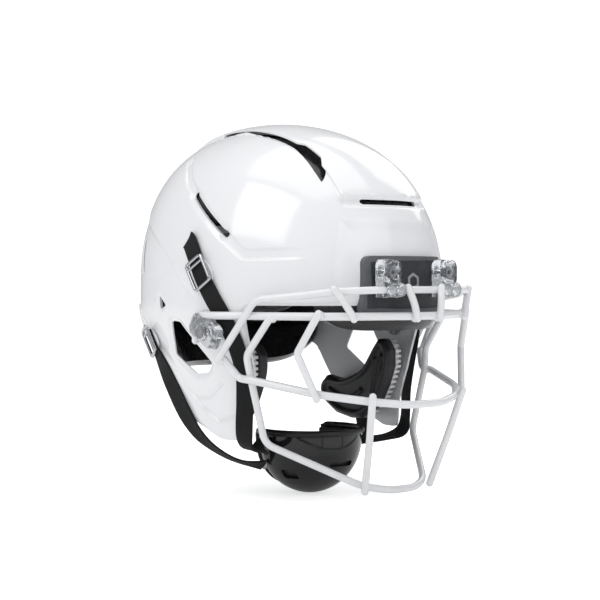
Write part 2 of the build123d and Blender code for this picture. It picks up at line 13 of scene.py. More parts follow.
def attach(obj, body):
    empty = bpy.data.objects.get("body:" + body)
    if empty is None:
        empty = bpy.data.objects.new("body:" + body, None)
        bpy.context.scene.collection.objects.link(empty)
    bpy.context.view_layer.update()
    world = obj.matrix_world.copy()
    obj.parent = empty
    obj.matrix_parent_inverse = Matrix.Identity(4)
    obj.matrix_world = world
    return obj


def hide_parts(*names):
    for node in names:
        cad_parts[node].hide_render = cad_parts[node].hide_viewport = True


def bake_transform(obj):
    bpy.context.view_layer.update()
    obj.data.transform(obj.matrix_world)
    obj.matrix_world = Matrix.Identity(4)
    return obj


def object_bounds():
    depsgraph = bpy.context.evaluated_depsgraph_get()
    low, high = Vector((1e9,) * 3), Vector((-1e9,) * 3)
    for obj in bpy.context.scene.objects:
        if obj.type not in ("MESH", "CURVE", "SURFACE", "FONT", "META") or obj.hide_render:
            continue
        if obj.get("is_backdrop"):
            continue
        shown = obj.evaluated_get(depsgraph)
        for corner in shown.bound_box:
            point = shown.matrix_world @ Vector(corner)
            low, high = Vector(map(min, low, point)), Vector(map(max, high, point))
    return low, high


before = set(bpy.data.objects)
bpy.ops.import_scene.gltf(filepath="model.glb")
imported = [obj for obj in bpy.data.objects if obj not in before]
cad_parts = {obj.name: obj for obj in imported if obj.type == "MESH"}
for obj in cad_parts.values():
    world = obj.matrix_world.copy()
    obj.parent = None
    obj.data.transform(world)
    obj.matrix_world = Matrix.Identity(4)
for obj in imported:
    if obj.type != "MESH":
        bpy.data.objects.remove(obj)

MM = 0.001
HEAVY_WIRE = 3.3
LIGHT_WIRE = 3.05
CLIP_MIDDLE = 33.5
CLIP_SCREW_Z = 24.5
STRAP_FLOOR = -118.0
log = logging.getLogger("helmet")

Point2 = tuple[float, float]
Point3 = tuple[float, float, float]


class Hand(Enum):
    """The wearer's right is on -X, the left on +X."""

    RIGHT = -1
    LEFT = 1

    @property
    def word(self) -> str:
        """The hand's name in a piece's name."""
        return self.name.lower()


# ---- small geometry helpers -----------------------------------------------------------------


def smooth(value: np.ndarray | float) -> np.ndarray:
    """Smooth step from 0 to 1 as value goes from 0 to 1."""
    t = np.clip(value, 0.0, 1.0)
    return t * t * (3 - 2 * t)


def rounded(points: Sequence[Point2], radius: float, steps: int = 5) -> list[Point2]:
    """Rounds every corner of a closed outline.

    Args:
        points: The outline's corners, in order.
        radius: Corner radius, in the outline's unit.
        steps: Points on each corner's arc, less one.

    Returns:
        The rounded outline.
    """
    made: list[Point2] = []
    count = len(points)
    for i in range(count):
        here, before, after = (Vector(points[j % count]) for j in (i, i - 1, i + 1))
        back, on = (before - here), (after - here)
        half = back.angle(on) / 2
        cut = min(radius / max(math.tan(half), 1e-3), 0.45 * min(back.length, on.length))
        start, end = here + back.normalized() * cut, here + on.normalized() * cut
        for step in range(steps + 1):
            t = step / steps
            made.append(tuple((1 - t) ** 2 * start + 2 * t * (1 - t) * here + t * t * end))
    return made


def circle(centre: Point2, radius: float, count: int = 24, turn: float = 0.0) -> list[Point2]:
    """Outline of a circle, or of a regular polygon.

    Args:
        centre: Its middle.
        radius: From the middle to each point.
        count: How many points.
        turn: Angle of the first point, in degrees.

    Returns:
        The outline's points.
    """
    angles = [math.radians(turn) + 2 * math.pi * i / count for i in range(count)]
    return [(centre[0] + radius * math.cos(a), centre[1] + radius * math.sin(a)) for a in angles]


def oblong(left: float, right: float, low: float, high: float) -> list[Point2]:
    """Outline of a rectangle."""
    return [(left, low), (left, high), (right, high), (right, low)]


def ball_ways(co: np.ndarray) -> np.ndarray:
    """Unit directions of a cube's points, spread evenly over the ball."""
    return unit(np.tan(co * math.pi / 4))


def unit(ways: np.ndarray) -> np.ndarray:
    """Rows made one long."""
    return ways / np.linalg.norm(ways, axis=1, keepdims=True)


def slot_outline(centre: Point2, length: float, width: float, turn: float = 0.0) -> list[Point2]:
    """Outline of a slot with round ends.

    Args:
        centre: Middle of the slot.
        length: From end to end.
        width: Across.
        turn: Turn of its length, in degrees.

    Returns:
        The outline's points.
    """
    made = []
    for end in (1, -1):
        for step in range(9):
            a = math.radians(-90 + 22.5 * step)
            x = end * ((length - width) / 2 + width / 2 * math.cos(a))
            y = end * width / 2 * math.sin(a)
            c, s = math.cos(math.radians(turn)), math.sin(math.radians(turn))
            made.append((centre[0] + x * c - y * s, centre[1] + x * s + y * c))
    return made


def path_distance(p: np.ndarray, line: Sequence[Point2],
                  closed: bool = False) -> tuple[np.ndarray, np.ndarray, np.ndarray]:
    """Distance from points to a line of segments.

    Args:
        p: Points, one row each.
        line: Corners of the line.
        closed: Whether its end joins its start.

    Returns:
        The distance, the side (positive to the left of the line) and the share of the way
        along the line, each for every point.
    """
    pts = np.array(line, float)
    if closed:
        pts = np.vstack([pts, pts[:1]])
    runs = np.linalg.norm(np.diff(pts, axis=0), axis=1)
    total, gone = runs.sum(), 0.0
    best = np.full(len(p), 1e9)
    side, along = np.zeros(len(p)), np.zeros(len(p))
    for a, b, run in zip(pts[:-1], pts[1:], runs):
        d = (b - a) / max(run, 1e-9)
        t = np.clip((p - a) @ d, 0, run)
        off = p - (a + t[:, None] * d)
        dist = np.hypot(off[:, 0], off[:, 1])
        nearer = dist < best
        best = np.where(nearer, dist, best)
        side = np.where(nearer, np.sign(d[0] * off[:, 1] - d[1] * off[:, 0]), side)
        along = np.where(nearer, (gone + t) / total, along)
        gone += run
    return best, side, along


def inside(p: np.ndarray, outline: Sequence[Point2]) -> np.ndarray:
    """Which points lie inside a closed outline."""
    poly = np.array(outline, float)
    result = np.zeros(len(p), bool)
    for (x0, y0), (x1, y1) in zip(poly, np.roll(poly, -1, axis=0)):
        crosses = (y0 > p[:, 1]) != (y1 > p[:, 1])
        with np.errstate(divide="ignore", invalid="ignore"):
            at = x0 + (p[:, 1] - y0) * (x1 - x0) / (y1 - y0)
        result ^= crosses & (p[:, 0] < at)
    return result


def ahead(u: float, v: float, level: float) -> Point3:
    """A front view outline's point: x, z, and the level as y."""
    return (u, level, v)


def across(u: float, v: float, level: float) -> Point3:
    """A side view outline's point: y, z, and the level as x."""
    return (level, u, v)


def down(u: float, v: float, level: float) -> Point3:
    """A plan outline's point: x, y, and the level as z."""
    return (u, v, level)


# ---- the bench: what is done by hand on a mesh -----------------------------------------------


class Bench:
    """Adds primitives, edits them and applies modifiers, one piece at a time."""

    @staticmethod
    def clear() -> None:
        """Deselects everything and leaves edit mode."""
        if bpy.context.object and bpy.context.object.mode != "OBJECT":
            bpy.ops.object.mode_set(mode="OBJECT")
        bpy.ops.object.select_all(action="DESELECT")

    @staticmethod
    def take(piece: bpy.types.Object) -> bpy.types.Object:
        """Makes a piece the only selected and active one."""
        Bench.clear()
        piece.select_set(True)
        bpy.context.view_layer.objects.active = piece
        return piece

    @staticmethod
    def named(name: str) -> bpy.types.Object:
        """Names the piece just added and its mesh."""
        piece = bpy.context.object
        piece.name = piece.data.name = name
        return piece

    @staticmethod
    def settle(piece: bpy.types.Object) -> bpy.types.Object:
        """Puts a piece's place into its mesh."""
        Bench.take(piece)
        bpy.ops.object.transform_apply(location=True, rotation=True, scale=True)
        return piece

    @staticmethod
    def cube(name: str, cuts: int = 0) -> bpy.types.Object:
        """A cube from -1 to 1, cut evenly."""
        Bench.clear()
        bpy.ops.mesh.primitive_cube_add(size=2)
        piece = Bench.named(name)
        if cuts:
            bpy.ops.object.mode_set(mode="EDIT")
            bpy.ops.mesh.select_all(action="SELECT")
            bpy.ops.mesh.subdivide(number_cuts=cuts)
            bpy.ops.object.mode_set(mode="OBJECT")
        return piece

    @staticmethod
    def grid(name: str, across: int, along: int) -> bpy.types.Object:
        """A flat grid from -1 to 1 with that many faces each way."""
        Bench.clear()
        bpy.ops.mesh.primitive_grid_add(x_subdivisions=across, y_subdivisions=along, size=2)
        return Bench.named(name)

    @staticmethod
    def tube(name: str, path: Sequence[Point3], radius: float, turns: int = 12,
             closed: bool = False) -> bpy.types.Object:
        """A round bar along a smooth curve, made a mesh.

        Args:
            name: The piece's name.
            path: Points on the way, in metres.
            radius: The bar's radius, in metres.
            turns: Faces round it.
            closed: Whether the bar closes on itself.

        Returns:
            The piece, with capped ends.
        """
        Bench.clear()
        curve = bpy.data.curves.new(name, "CURVE")
        curve.dimensions = "3D"
        curve.resolution_u = 6
        curve.bevel_depth, curve.bevel_resolution = radius, max(1, turns // 4 - 1)
        curve.use_fill_caps = True
        spline = curve.splines.new("NURBS")
        spline.points.add(len(path) - 1)
        for spot, place in zip(spline.points, path):
            spot.co = (*place, 1.0)
        spline.use_cyclic_u = closed
        spline.order_u = 3
        spline.use_endpoint_u = not closed
        piece = bpy.data.objects.new(name, curve)
        bpy.context.scene.collection.objects.link(piece)
        Bench.take(piece)
        bpy.ops.object.convert(target="MESH")
        return Bench.clean(Bench.named(name))

    @staticmethod
    def prism(name: str, outline: Sequence[Point2], place: Callable[[float, float, float], Point3],
              near: float, far: float, flare: float = 0.0) -> bpy.types.Object:
        """A solid with a flat outline, raised from one level to another.

        Args:
            name: The piece's name.
            outline: Corners of the outline, in millimetres.
            place: Gives the row's x, y, z in millimetres for an outline point and a level.
            near: First level.
            far: Second level.
            flare: How much wider the outline is at the far level, in millimetres.

        Returns:
            The closed piece.
        """
        Bench.clear()
        bpy.ops.mesh.primitive_circle_add(vertices=len(outline), radius=1, fill_type="NGON")
        piece = Bench.named(name)
        flat = [Vector(p) for p in outline]
        corners = {}
        for vertex, spot in zip(piece.data.vertices, flat):
            vertex.co = Vector(place(spot.x, spot.y, near)) * MM
            corners[tuple(vertex.co)] = spot
        bpy.ops.object.mode_set(mode="EDIT")
        bpy.ops.mesh.select_all(action="SELECT")
        bpy.ops.mesh.extrude_region_move()
        bpy.ops.object.mode_set(mode="OBJECT")
        middle = sum(flat, Vector((0, 0))) / len(flat)
        for vertex in (v for v in piece.data.vertices if v.select):
            spot = corners[tuple(vertex.co)]
            out = spot + (spot - middle).normalized() * flare
            vertex.co = Vector(place(out.x, out.y, far)) * MM
        return Bench.clean(piece)

    @staticmethod
    def clean(piece: bpy.types.Object) -> bpy.types.Object:
        """Merges doubles and turns every face outwards."""
        Bench.take(piece)
        bpy.ops.object.mode_set(mode="EDIT")
        bpy.ops.mesh.select_all(action="SELECT")
        bpy.ops.mesh.remove_doubles(threshold=2e-6)
        bpy.ops.mesh.normals_make_consistent(inside=False)
        bpy.ops.object.mode_set(mode="OBJECT")
        return piece

    @staticmethod
    def modify(piece: bpy.types.Object, kind: str, **settings: object) -> bpy.types.Object:
        """Adds a modifier, sets it and applies it."""
        Bench.take(piece)
        modifier = piece.modifiers.new(kind.title(), kind)
        for key, value in settings.items():
            setattr(modifier, key, value)
        bpy.ops.object.modifier_apply(modifier=modifier.name)
        return piece

    @staticmethod
    def bevel(piece: bpy.types.Object, width: float, segments: int, angle: float) -> bpy.types.Object:
        """Rounds a piece's sharp edges; width in millimetres."""
        return Bench.modify(piece, "BEVEL", width=width * MM, segments=segments,
                            limit_method="ANGLE", angle_limit=math.radians(angle))

    @staticmethod
    def cut(piece: bpy.types.Object, tool: bpy.types.Object, how: str = "DIFFERENCE") -> bpy.types.Object:
        """Cuts or joins a tool into a piece and removes the tool."""
        Bench.modify(piece, "BOOLEAN", object=tool, operation=how, solver="MANIFOLD")
        bpy.data.objects.remove(tool)
        return piece

    @staticmethod
    def join(name: str, pieces: Sequence[bpy.types.Object]) -> bpy.types.Object:
        """Joins pieces into one."""
        Bench.clear()
        for piece in pieces:
            piece.select_set(True)
        bpy.context.view_layer.objects.active = pieces[0]
        if len(pieces) > 1:
            bpy.ops.object.join()
        return Bench.named(name)

    @staticmethod
    def turn_over(piece: bpy.types.Object) -> bpy.types.Object:
        """Mirrors a piece across the middle plane."""
        piece.data.transform(Matrix.Diagonal((-1, 1, 1, 1)))
        piece.data.flip_normals()
        return piece

    @staticmethod
    def points(piece: bpy.types.Object) -> np.ndarray:
        """The points of a piece's mesh, one row each, in metres."""
        co = np.zeros(len(piece.data.vertices) * 3)
        piece.data.vertices.foreach_get("co", co)
        return co.reshape(-1, 3)

    @staticmethod
    def shape(piece: bpy.types.Object, rule: Callable[[np.ndarray], np.ndarray]) -> bpy.types.Object:
        """Moves every point of a piece by a rule on its coordinates."""
        piece.data.vertices.foreach_set("co", rule(Bench.points(piece)).ravel())
        piece.data.update()
        return piece

    @staticmethod
    def refine(piece: bpy.types.Object, chosen: np.ndarray) -> bpy.types.Object:
        """Cuts the chosen faces of a piece in four."""
        Bench.take(piece)
        mesh = piece.data
        mesh.vertices.foreach_set("select", np.zeros(len(mesh.vertices), bool))
        mesh.edges.foreach_set("select", np.zeros(len(mesh.edges), bool))
        mesh.polygons.foreach_set("select", chosen)
        bpy.ops.object.mode_set(mode="EDIT")
        bpy.ops.mesh.select_mode(type="FACE")
        bpy.ops.mesh.subdivide(number_cuts=1, ngon=True)
        bpy.ops.object.mode_set(mode="OBJECT")
        return piece

    @staticmethod
    def dress(piece: bpy.types.Object, *paints: bpy.types.Material) -> bpy.types.Object:
        """Gives a piece these materials and no other."""
        piece.data.materials.clear()
        for paint in paints:
            piece.data.materials.append(paint)
        return piece

    @staticmethod
    def finish(piece: bpy.types.Object, body: str, slot: str, dress: bpy.types.Material,
               angle: float = 35, stands_for: Sequence[str] = ()) -> bpy.types.Object:
        """Smooths, dresses and mounts a finished piece.

        Args:
            piece: The piece.
            body: The body that it rides on.
            slot: The record's material slot; not used.
            dress: Its material.
            angle: Edges sharper than this stay sharp, in degrees.
            stands_for: CAD nodes that it replaces.

        Returns:
            The piece.
        """
        Bench.settle(piece)
        if not any(piece.data.materials):
            Bench.dress(piece, dress)
        bpy.ops.object.shade_smooth_by_angle(angle=math.radians(angle))
        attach(piece, body)
        if stands_for:
            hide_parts(*stands_for)
        log.info("made %s: %d faces, on %s", piece.name, len(piece.data.polygons), body)
        return piece


# ---- finishes ---------------------------------------------------------------------------------


@dataclass(frozen=True)
class Finish:
    """A procedural finish: base colour with mottling, roughness spread and fine bumps.

    Sizes are in millimetres, colours are linear.
    """

    name: str
    colour: Point3
    roughness: float = 0.35
    spread: float = 0.06
    mottle: float = 0.04
    mottle_size: float = 20.0
    bump: float = 0.0
    bump_size: float = 1.0
    metal: float = 0.0
    coat: float = 0.0
    coat_rough: float = 0.08
    transmission: float = 0.0
    ior: float = 1.5
    specular: float = 0.5

    def make(self) -> bpy.types.Material:
        """Builds the finish's material on Object coordinates."""
        material = bpy.data.materials.new(self.name)
        material.use_nodes = True
        nodes, links = material.node_tree.nodes, material.node_tree.links
        shader = nodes["Principled BSDF"]
        place = nodes.new("ShaderNodeTexCoord")
        cloud = nodes.new("ShaderNodeTexNoise")
        cloud.inputs["Scale"].default_value = 1 / (self.mottle_size * MM)
        cloud.inputs["Detail"].default_value = 4.0
        links.new(place.outputs["Object"], cloud.inputs["Vector"])
        tint = nodes.new("ShaderNodeValToRGB")
        low = [c * (1 - self.mottle) for c in self.colour]
        high = [min(1.0, c * (1 + self.mottle)) for c in self.colour]
        tint.color_ramp.elements[0].position, tint.color_ramp.elements[1].position = 0.3, 0.7
        tint.color_ramp.elements[0].color = (*low, 1)
        tint.color_ramp.elements[1].color = (*high, 1)
        links.new(cloud.outputs["Fac"], tint.inputs["Fac"])
        links.new(tint.outputs["Color"], shader.inputs["Base Color"])
        fine = nodes.new("ShaderNodeTexNoise")
        fine.inputs["Scale"].default_value = 1 / (max(self.bump_size, 0.2) * MM)
        fine.inputs["Detail"].default_value = 3.0
        links.new(place.outputs["Object"], fine.inputs["Vector"])
        rough = nodes.new("ShaderNodeMapRange")
        rough.inputs["To Min"].default_value = max(0.02, self.roughness - self.spread)
        rough.inputs["To Max"].default_value = min(1.0, self.roughness + self.spread)
        links.new(cloud.outputs["Fac"], rough.inputs["Value"])
        links.new(rough.outputs["Result"], shader.inputs["Roughness"])
        if self.bump:
            relief = nodes.new("ShaderNodeBump")
            relief.inputs["Strength"].default_value = min(1.0, self.bump)
            relief.inputs["Distance"].default_value = 0.25 * self.bump_size * MM
            links.new(fine.outputs["Fac"], relief.inputs["Height"])
            links.new(relief.outputs["Normal"], shader.inputs["Normal"])
        shader.inputs["Metallic"].default_value = self.metal
        shader.inputs["Coat Weight"].default_value = self.coat
        shader.inputs["Coat Roughness"].default_value = self.coat_rough
        shader.inputs["Transmission Weight"].default_value = self.transmission
        shader.inputs["IOR"].default_value = self.ior
        shader.inputs["Specular IOR Level"].default_value = self.specular
        return material


@dataclass(frozen=True)
class Webbing:
    """Woven strap finish: ribs across and along the strap, read from the piece's own UV map."""

    name: str
    colour: Point3
    rib: float = 1.1
    width: float = 16.0

    def make(self) -> bpy.types.Material:
        """Builds the weave: UV u runs across in strap widths, v along in the same unit."""
        material = bpy.data.materials.new(self.name)
        material.use_nodes = True
        nodes, links = material.node_tree.nodes, material.node_tree.links
        shader = nodes["Principled BSDF"]
        place = nodes.new("ShaderNodeTexCoord")
        waves = []
        for direction, size in (("X", self.rib), ("Y", self.rib * 0.8)):
            wave = nodes.new("ShaderNodeTexWave")
            wave.bands_direction = direction
            wave.inputs["Scale"].default_value = self.width / size / 6.2832 * 2
            wave.inputs["Distortion"].default_value = 0.4
            wave.inputs["Detail"].default_value = 1.0
            links.new(place.outputs["UV"], wave.inputs["Vector"])
            waves.append(wave)
        weave = nodes.new("ShaderNodeMath")
        weave.operation = "MULTIPLY"
        links.new(waves[0].outputs["Fac"], weave.inputs[0])
        links.new(waves[1].outputs["Fac"], weave.inputs[1])
        tint = nodes.new("ShaderNodeValToRGB")
        tint.color_ramp.elements[0].color = (*[c * 0.45 for c in self.colour], 1)
        tint.color_ramp.elements[1].color = (*[c * 1.5 for c in self.colour], 1)
        links.new(weave.outputs[0], tint.inputs["Fac"])
        links.new(tint.outputs["Color"], shader.inputs["Base Color"])
        relief = nodes.new("ShaderNodeBump")
        relief.inputs["Strength"].default_value = 0.8
        relief.inputs["Distance"].default_value = 0.35 * MM
        links.new(weave.outputs[0], relief.inputs["Height"])
        links.new(relief.outputs["Normal"], shader.inputs["Normal"])
        shader.inputs["Roughness"].default_value = 0.78
        shader.inputs["Specular IOR Level"].default_value = 0.25
        shader.inputs["Sheen Weight"].default_value = 0.06
        return material


@dataclass(frozen=True)
class ShellPaint:
    """White gloss outside; inside, the same white plastic painted light grey as shade, with a rougher finish;
    told apart by the shell's attribute.
    """

    name: str = "white_shell_gloss"

    def make(self) -> bpy.types.Material:
        """Builds the outside and inside in one material."""
        material = Finish(self.name, (0.87, 0.87, 0.88), roughness=0.2, spread=0.05, mottle=0.012,
                          mottle_size=45, coat=0.6, coat_rough=0.05).make()
        nodes, links = material.node_tree.nodes, material.node_tree.links
        shader = nodes["Principled BSDF"]
        side = nodes.new("ShaderNodeAttribute")
        side.attribute_name = "inner_side"
        tint = shader.inputs["Base Color"].links[0].from_socket
        # the inner side's light grey (0.74) is painted shade on the white plastic inside the shell
        tint_and_inside_shade = nodes.new("ShaderNodeMix")
        tint_and_inside_shade.data_type = "RGBA"
        tint_and_inside_shade.inputs["B"].default_value = (0.74, 0.75, 0.77, 1)
        links.new(side.outputs["Fac"], tint_and_inside_shade.inputs["Factor"])
        links.new(tint, tint_and_inside_shade.inputs["A"])
        links.new(tint_and_inside_shade.outputs["Result"], shader.inputs["Base Color"])
        rough = shader.inputs["Roughness"].links[0].from_socket
        blend = nodes.new("ShaderNodeMix")
        blend.inputs["B"].default_value = 0.5
        links.new(side.outputs["Fac"], blend.inputs["Factor"])
        links.new(rough, blend.inputs["A"])
        links.new(blend.outputs["Result"], shader.inputs["Roughness"])
        return material


class Paints:
    """Every finish on the helmet, made once."""

    def __init__(self) -> None:
        """Makes the materials."""
        self.shell = ShellPaint().make()
        self.guard = Finish("guard_white_coat", (0.8, 0.8, 0.81), roughness=0.22, spread=0.05, mottle=0.02,
                            mottle_size=12, bump=0.12, bump_size=1.6, coat=0.5, coat_rough=0.08).make()
        self.clip = Finish("clear_polycarbonate", (0.9, 0.92, 0.94), roughness=0.05, spread=0.03,
                           mottle=0.01, transmission=0.95, ior=1.55, bump=0.06, bump_size=2.5).make()
        self.steel = Finish("brushed_hardware", (0.4, 0.4, 0.42), roughness=0.28, spread=0.08, mottle=0.1,
                            mottle_size=3, bump=0.25, bump_size=0.4, metal=1.0).make()
        self.chrome = Finish("buckle_plate", (0.5, 0.5, 0.52), roughness=0.16, spread=0.05, mottle=0.05,
                             mottle_size=6, bump=0.08, bump_size=0.6, metal=1.0).make()
        self.liner = Finish("liner_skin", (0.012, 0.012, 0.013), roughness=0.28, spread=0.08, mottle=0.2,
                            mottle_size=9, bump=0.25, bump_size=0.9, coat=0.35, coat_rough=0.14,
                            specular=0.3).make()
        self.foam = Finish("jaw_pad_skin", (0.02, 0.02, 0.022), roughness=0.42, spread=0.08, mottle=0.15,
                           mottle_size=8, bump=0.3, bump_size=0.7, specular=0.4).make()
        self.carrier = Finish("carrier_grey_plastic", (0.72, 0.72, 0.72), roughness=0.55, spread=0.06,
                              mottle=0.04, mottle_size=10, bump=0.2, bump_size=0.8).make()
        self.bumper = Finish("bumper_grey_plastic", (0.036, 0.038, 0.042), roughness=0.4, spread=0.06,
                             mottle=0.08, mottle_size=14, bump=0.3, bump_size=0.6, specular=0.3).make()
        self.bumper_edge = Finish("bumper_edge_plastic", (0.1, 0.103, 0.11), roughness=0.4, spread=0.06,
                                  mottle=0.06, mottle_size=14, bump=0.3, bump_size=0.6).make()
        self.mark = Finish("mark_grey", (0.3, 0.31, 0.32), roughness=0.4, mottle=0.05, bump=0.15).make()
        self.cup = Finish("cup_black_gloss", (0.012, 0.012, 0.013), roughness=0.13, spread=0.05, mottle=0.2,
                          mottle_size=15, coat=0.35, coat_rough=0.04, bump=0.04, bump_size=1.5,
                          specular=0.3).make()
        self.cup_rim = Finish("cup_rim_rubber", (0.014, 0.014, 0.015), roughness=0.34, spread=0.06,
                              mottle=0.2, mottle_size=8, bump=0.2, bump_size=0.6, specular=0.35).make()
        self.webbing = Webbing("strap_webbing", (0.011, 0.011, 0.012)).make()
        self.base = Finish("buckle_base_plastic", (0.75, 0.75, 0.76), roughness=0.35, mottle=0.03,
                           bump=0.1, bump_size=1.0).make()
        self.snap = Finish("snap_plastic", (0.5, 0.5, 0.51), roughness=0.4, mottle=0.05, bump=0.2).make()


# ---- the shell ----------------------------------------------------------------------------------


@dataclass
class ShellForm:
    """The helmet's outer form: level sections that are rounder in front and squarer behind."""

    half_width: float = 119.0
    half_length: float = 150.0
    crown: float = 156.0
    wall: float = 3.8
    taper: float = 0.16
    fall: float = 52.0
    setback: float = 18.0
    rise_power: float = 2.6
    round_power: float = 2.1
    front_power: float = 2.0
    rear_power: float = 2.3
    middle: Point3 = (0.0, 4.0, 8.0)

    def share(self, z: np.ndarray, grow: float) -> np.ndarray:
        """Size of the level section at each height, as a share of the widest."""
        ratio = np.clip(z / (self.crown + grow), 0, 1)
        above = (1 - ratio ** self.rise_power) ** (1 / self.round_power)
        below = 1 - self.taper * (1 - np.exp(-((np.minimum(z, 0) / self.fall) ** 2)))
        return np.where(z > 0, above, below)

    def power(self, ahead_of: np.ndarray) -> np.ndarray:
        """Power of the level section's curve: rounder in front, squarer behind."""
        return np.where(ahead_of < 0, self.front_power, self.rear_power)

    def centre(self, z: np.ndarray) -> np.ndarray:
        """Y of the middle of the level section at each height."""
        return self.setback * (np.clip(z, 0, None) / self.crown) ** 2

    def level(self, p: np.ndarray, grow: float = 0.0) -> np.ndarray:
        """Below 1 inside the form, 1 on it, above 1 outside; points in millimetres."""
        x, y, z = p.T
        s = np.maximum(self.share(z, grow), 1e-6)
        yy = y - self.centre(z)
        power = self.power(yy)
        a, b = (self.half_width + grow) * s, (self.half_length + grow) * s
        return ((np.abs(x) / a) ** power + (np.abs(yy) / b) ** power) ** (1 / power)

    def cast(self, ways: np.ndarray, origin: Point3, grow: float, floor: float) -> np.ndarray:
        """Where rays from an origin leave the form, or meet the floor level."""
        start = np.array(origin)
        low, high = np.full(len(ways), 5.0), np.full(len(ways), 420.0)
        for _ in range(40):
            middle = (low + high) / 2
            p = start + ways * middle[:, None]
            within = (self.level(p, grow) < 1) & (p[:, 2] > floor) & (p[:, 2] < self.crown + grow)
            low, high = np.where(within, middle, low), np.where(within, high, middle)
        return start + ways * low[:, None]

    def side_x(self, y: float, z: float, grow: float = 0.0) -> float:
        """Half width at a place seen from the side, or 0 past the form's ends."""
        s = float(self.share(np.array([z]), grow)[0])
        yy = y - float(self.centre(np.array([z]))[0])
        power = float(self.power(np.array(yy)))
        along = min(1.0, abs(yy) / ((self.half_length + grow) * s))
        return (self.half_width + grow) * s * (1 - along ** power) ** (1 / power)

    def side_way(self, y: float, z: float) -> np.ndarray:
        """Unit outward direction on the right side at a place seen from the side."""
        rise_y = (self.side_x(y + 1, z) - self.side_x(y - 1, z)) / 2
        rise_z = (self.side_x(y, z + 1) - self.side_x(y, z - 1)) / 2
        turned = np.array([-1, -rise_y, -rise_z])
        return turned / np.linalg.norm(turned)

    def outward(self, p: np.ndarray, grow: float = 0.0) -> np.ndarray:
        """Unit outward directions beside points."""
        step = 0.5
        made = np.stack([self.level(p + way * step, grow) - self.level(p - way * step, grow)
                         for way in np.eye(3)], axis=1)
        return made / np.maximum(np.linalg.norm(made, axis=1, keepdims=True), 1e-9)


FORM = ShellForm()


def egg(name: str, grow: float, cuts: int = 34, floor: float = -140.0) -> bpy.types.Object:
    """The helmet's form as a closed solid, grown outwards by a distance in millimetres."""
    piece = Bench.cube(name, cuts)

    def swell(co: np.ndarray) -> np.ndarray:
        """Sends the cube's points out to the form."""
        return FORM.cast(ball_ways(co), FORM.middle, grow, floor) * MM

    return Bench.clean(Bench.shape(piece, swell))


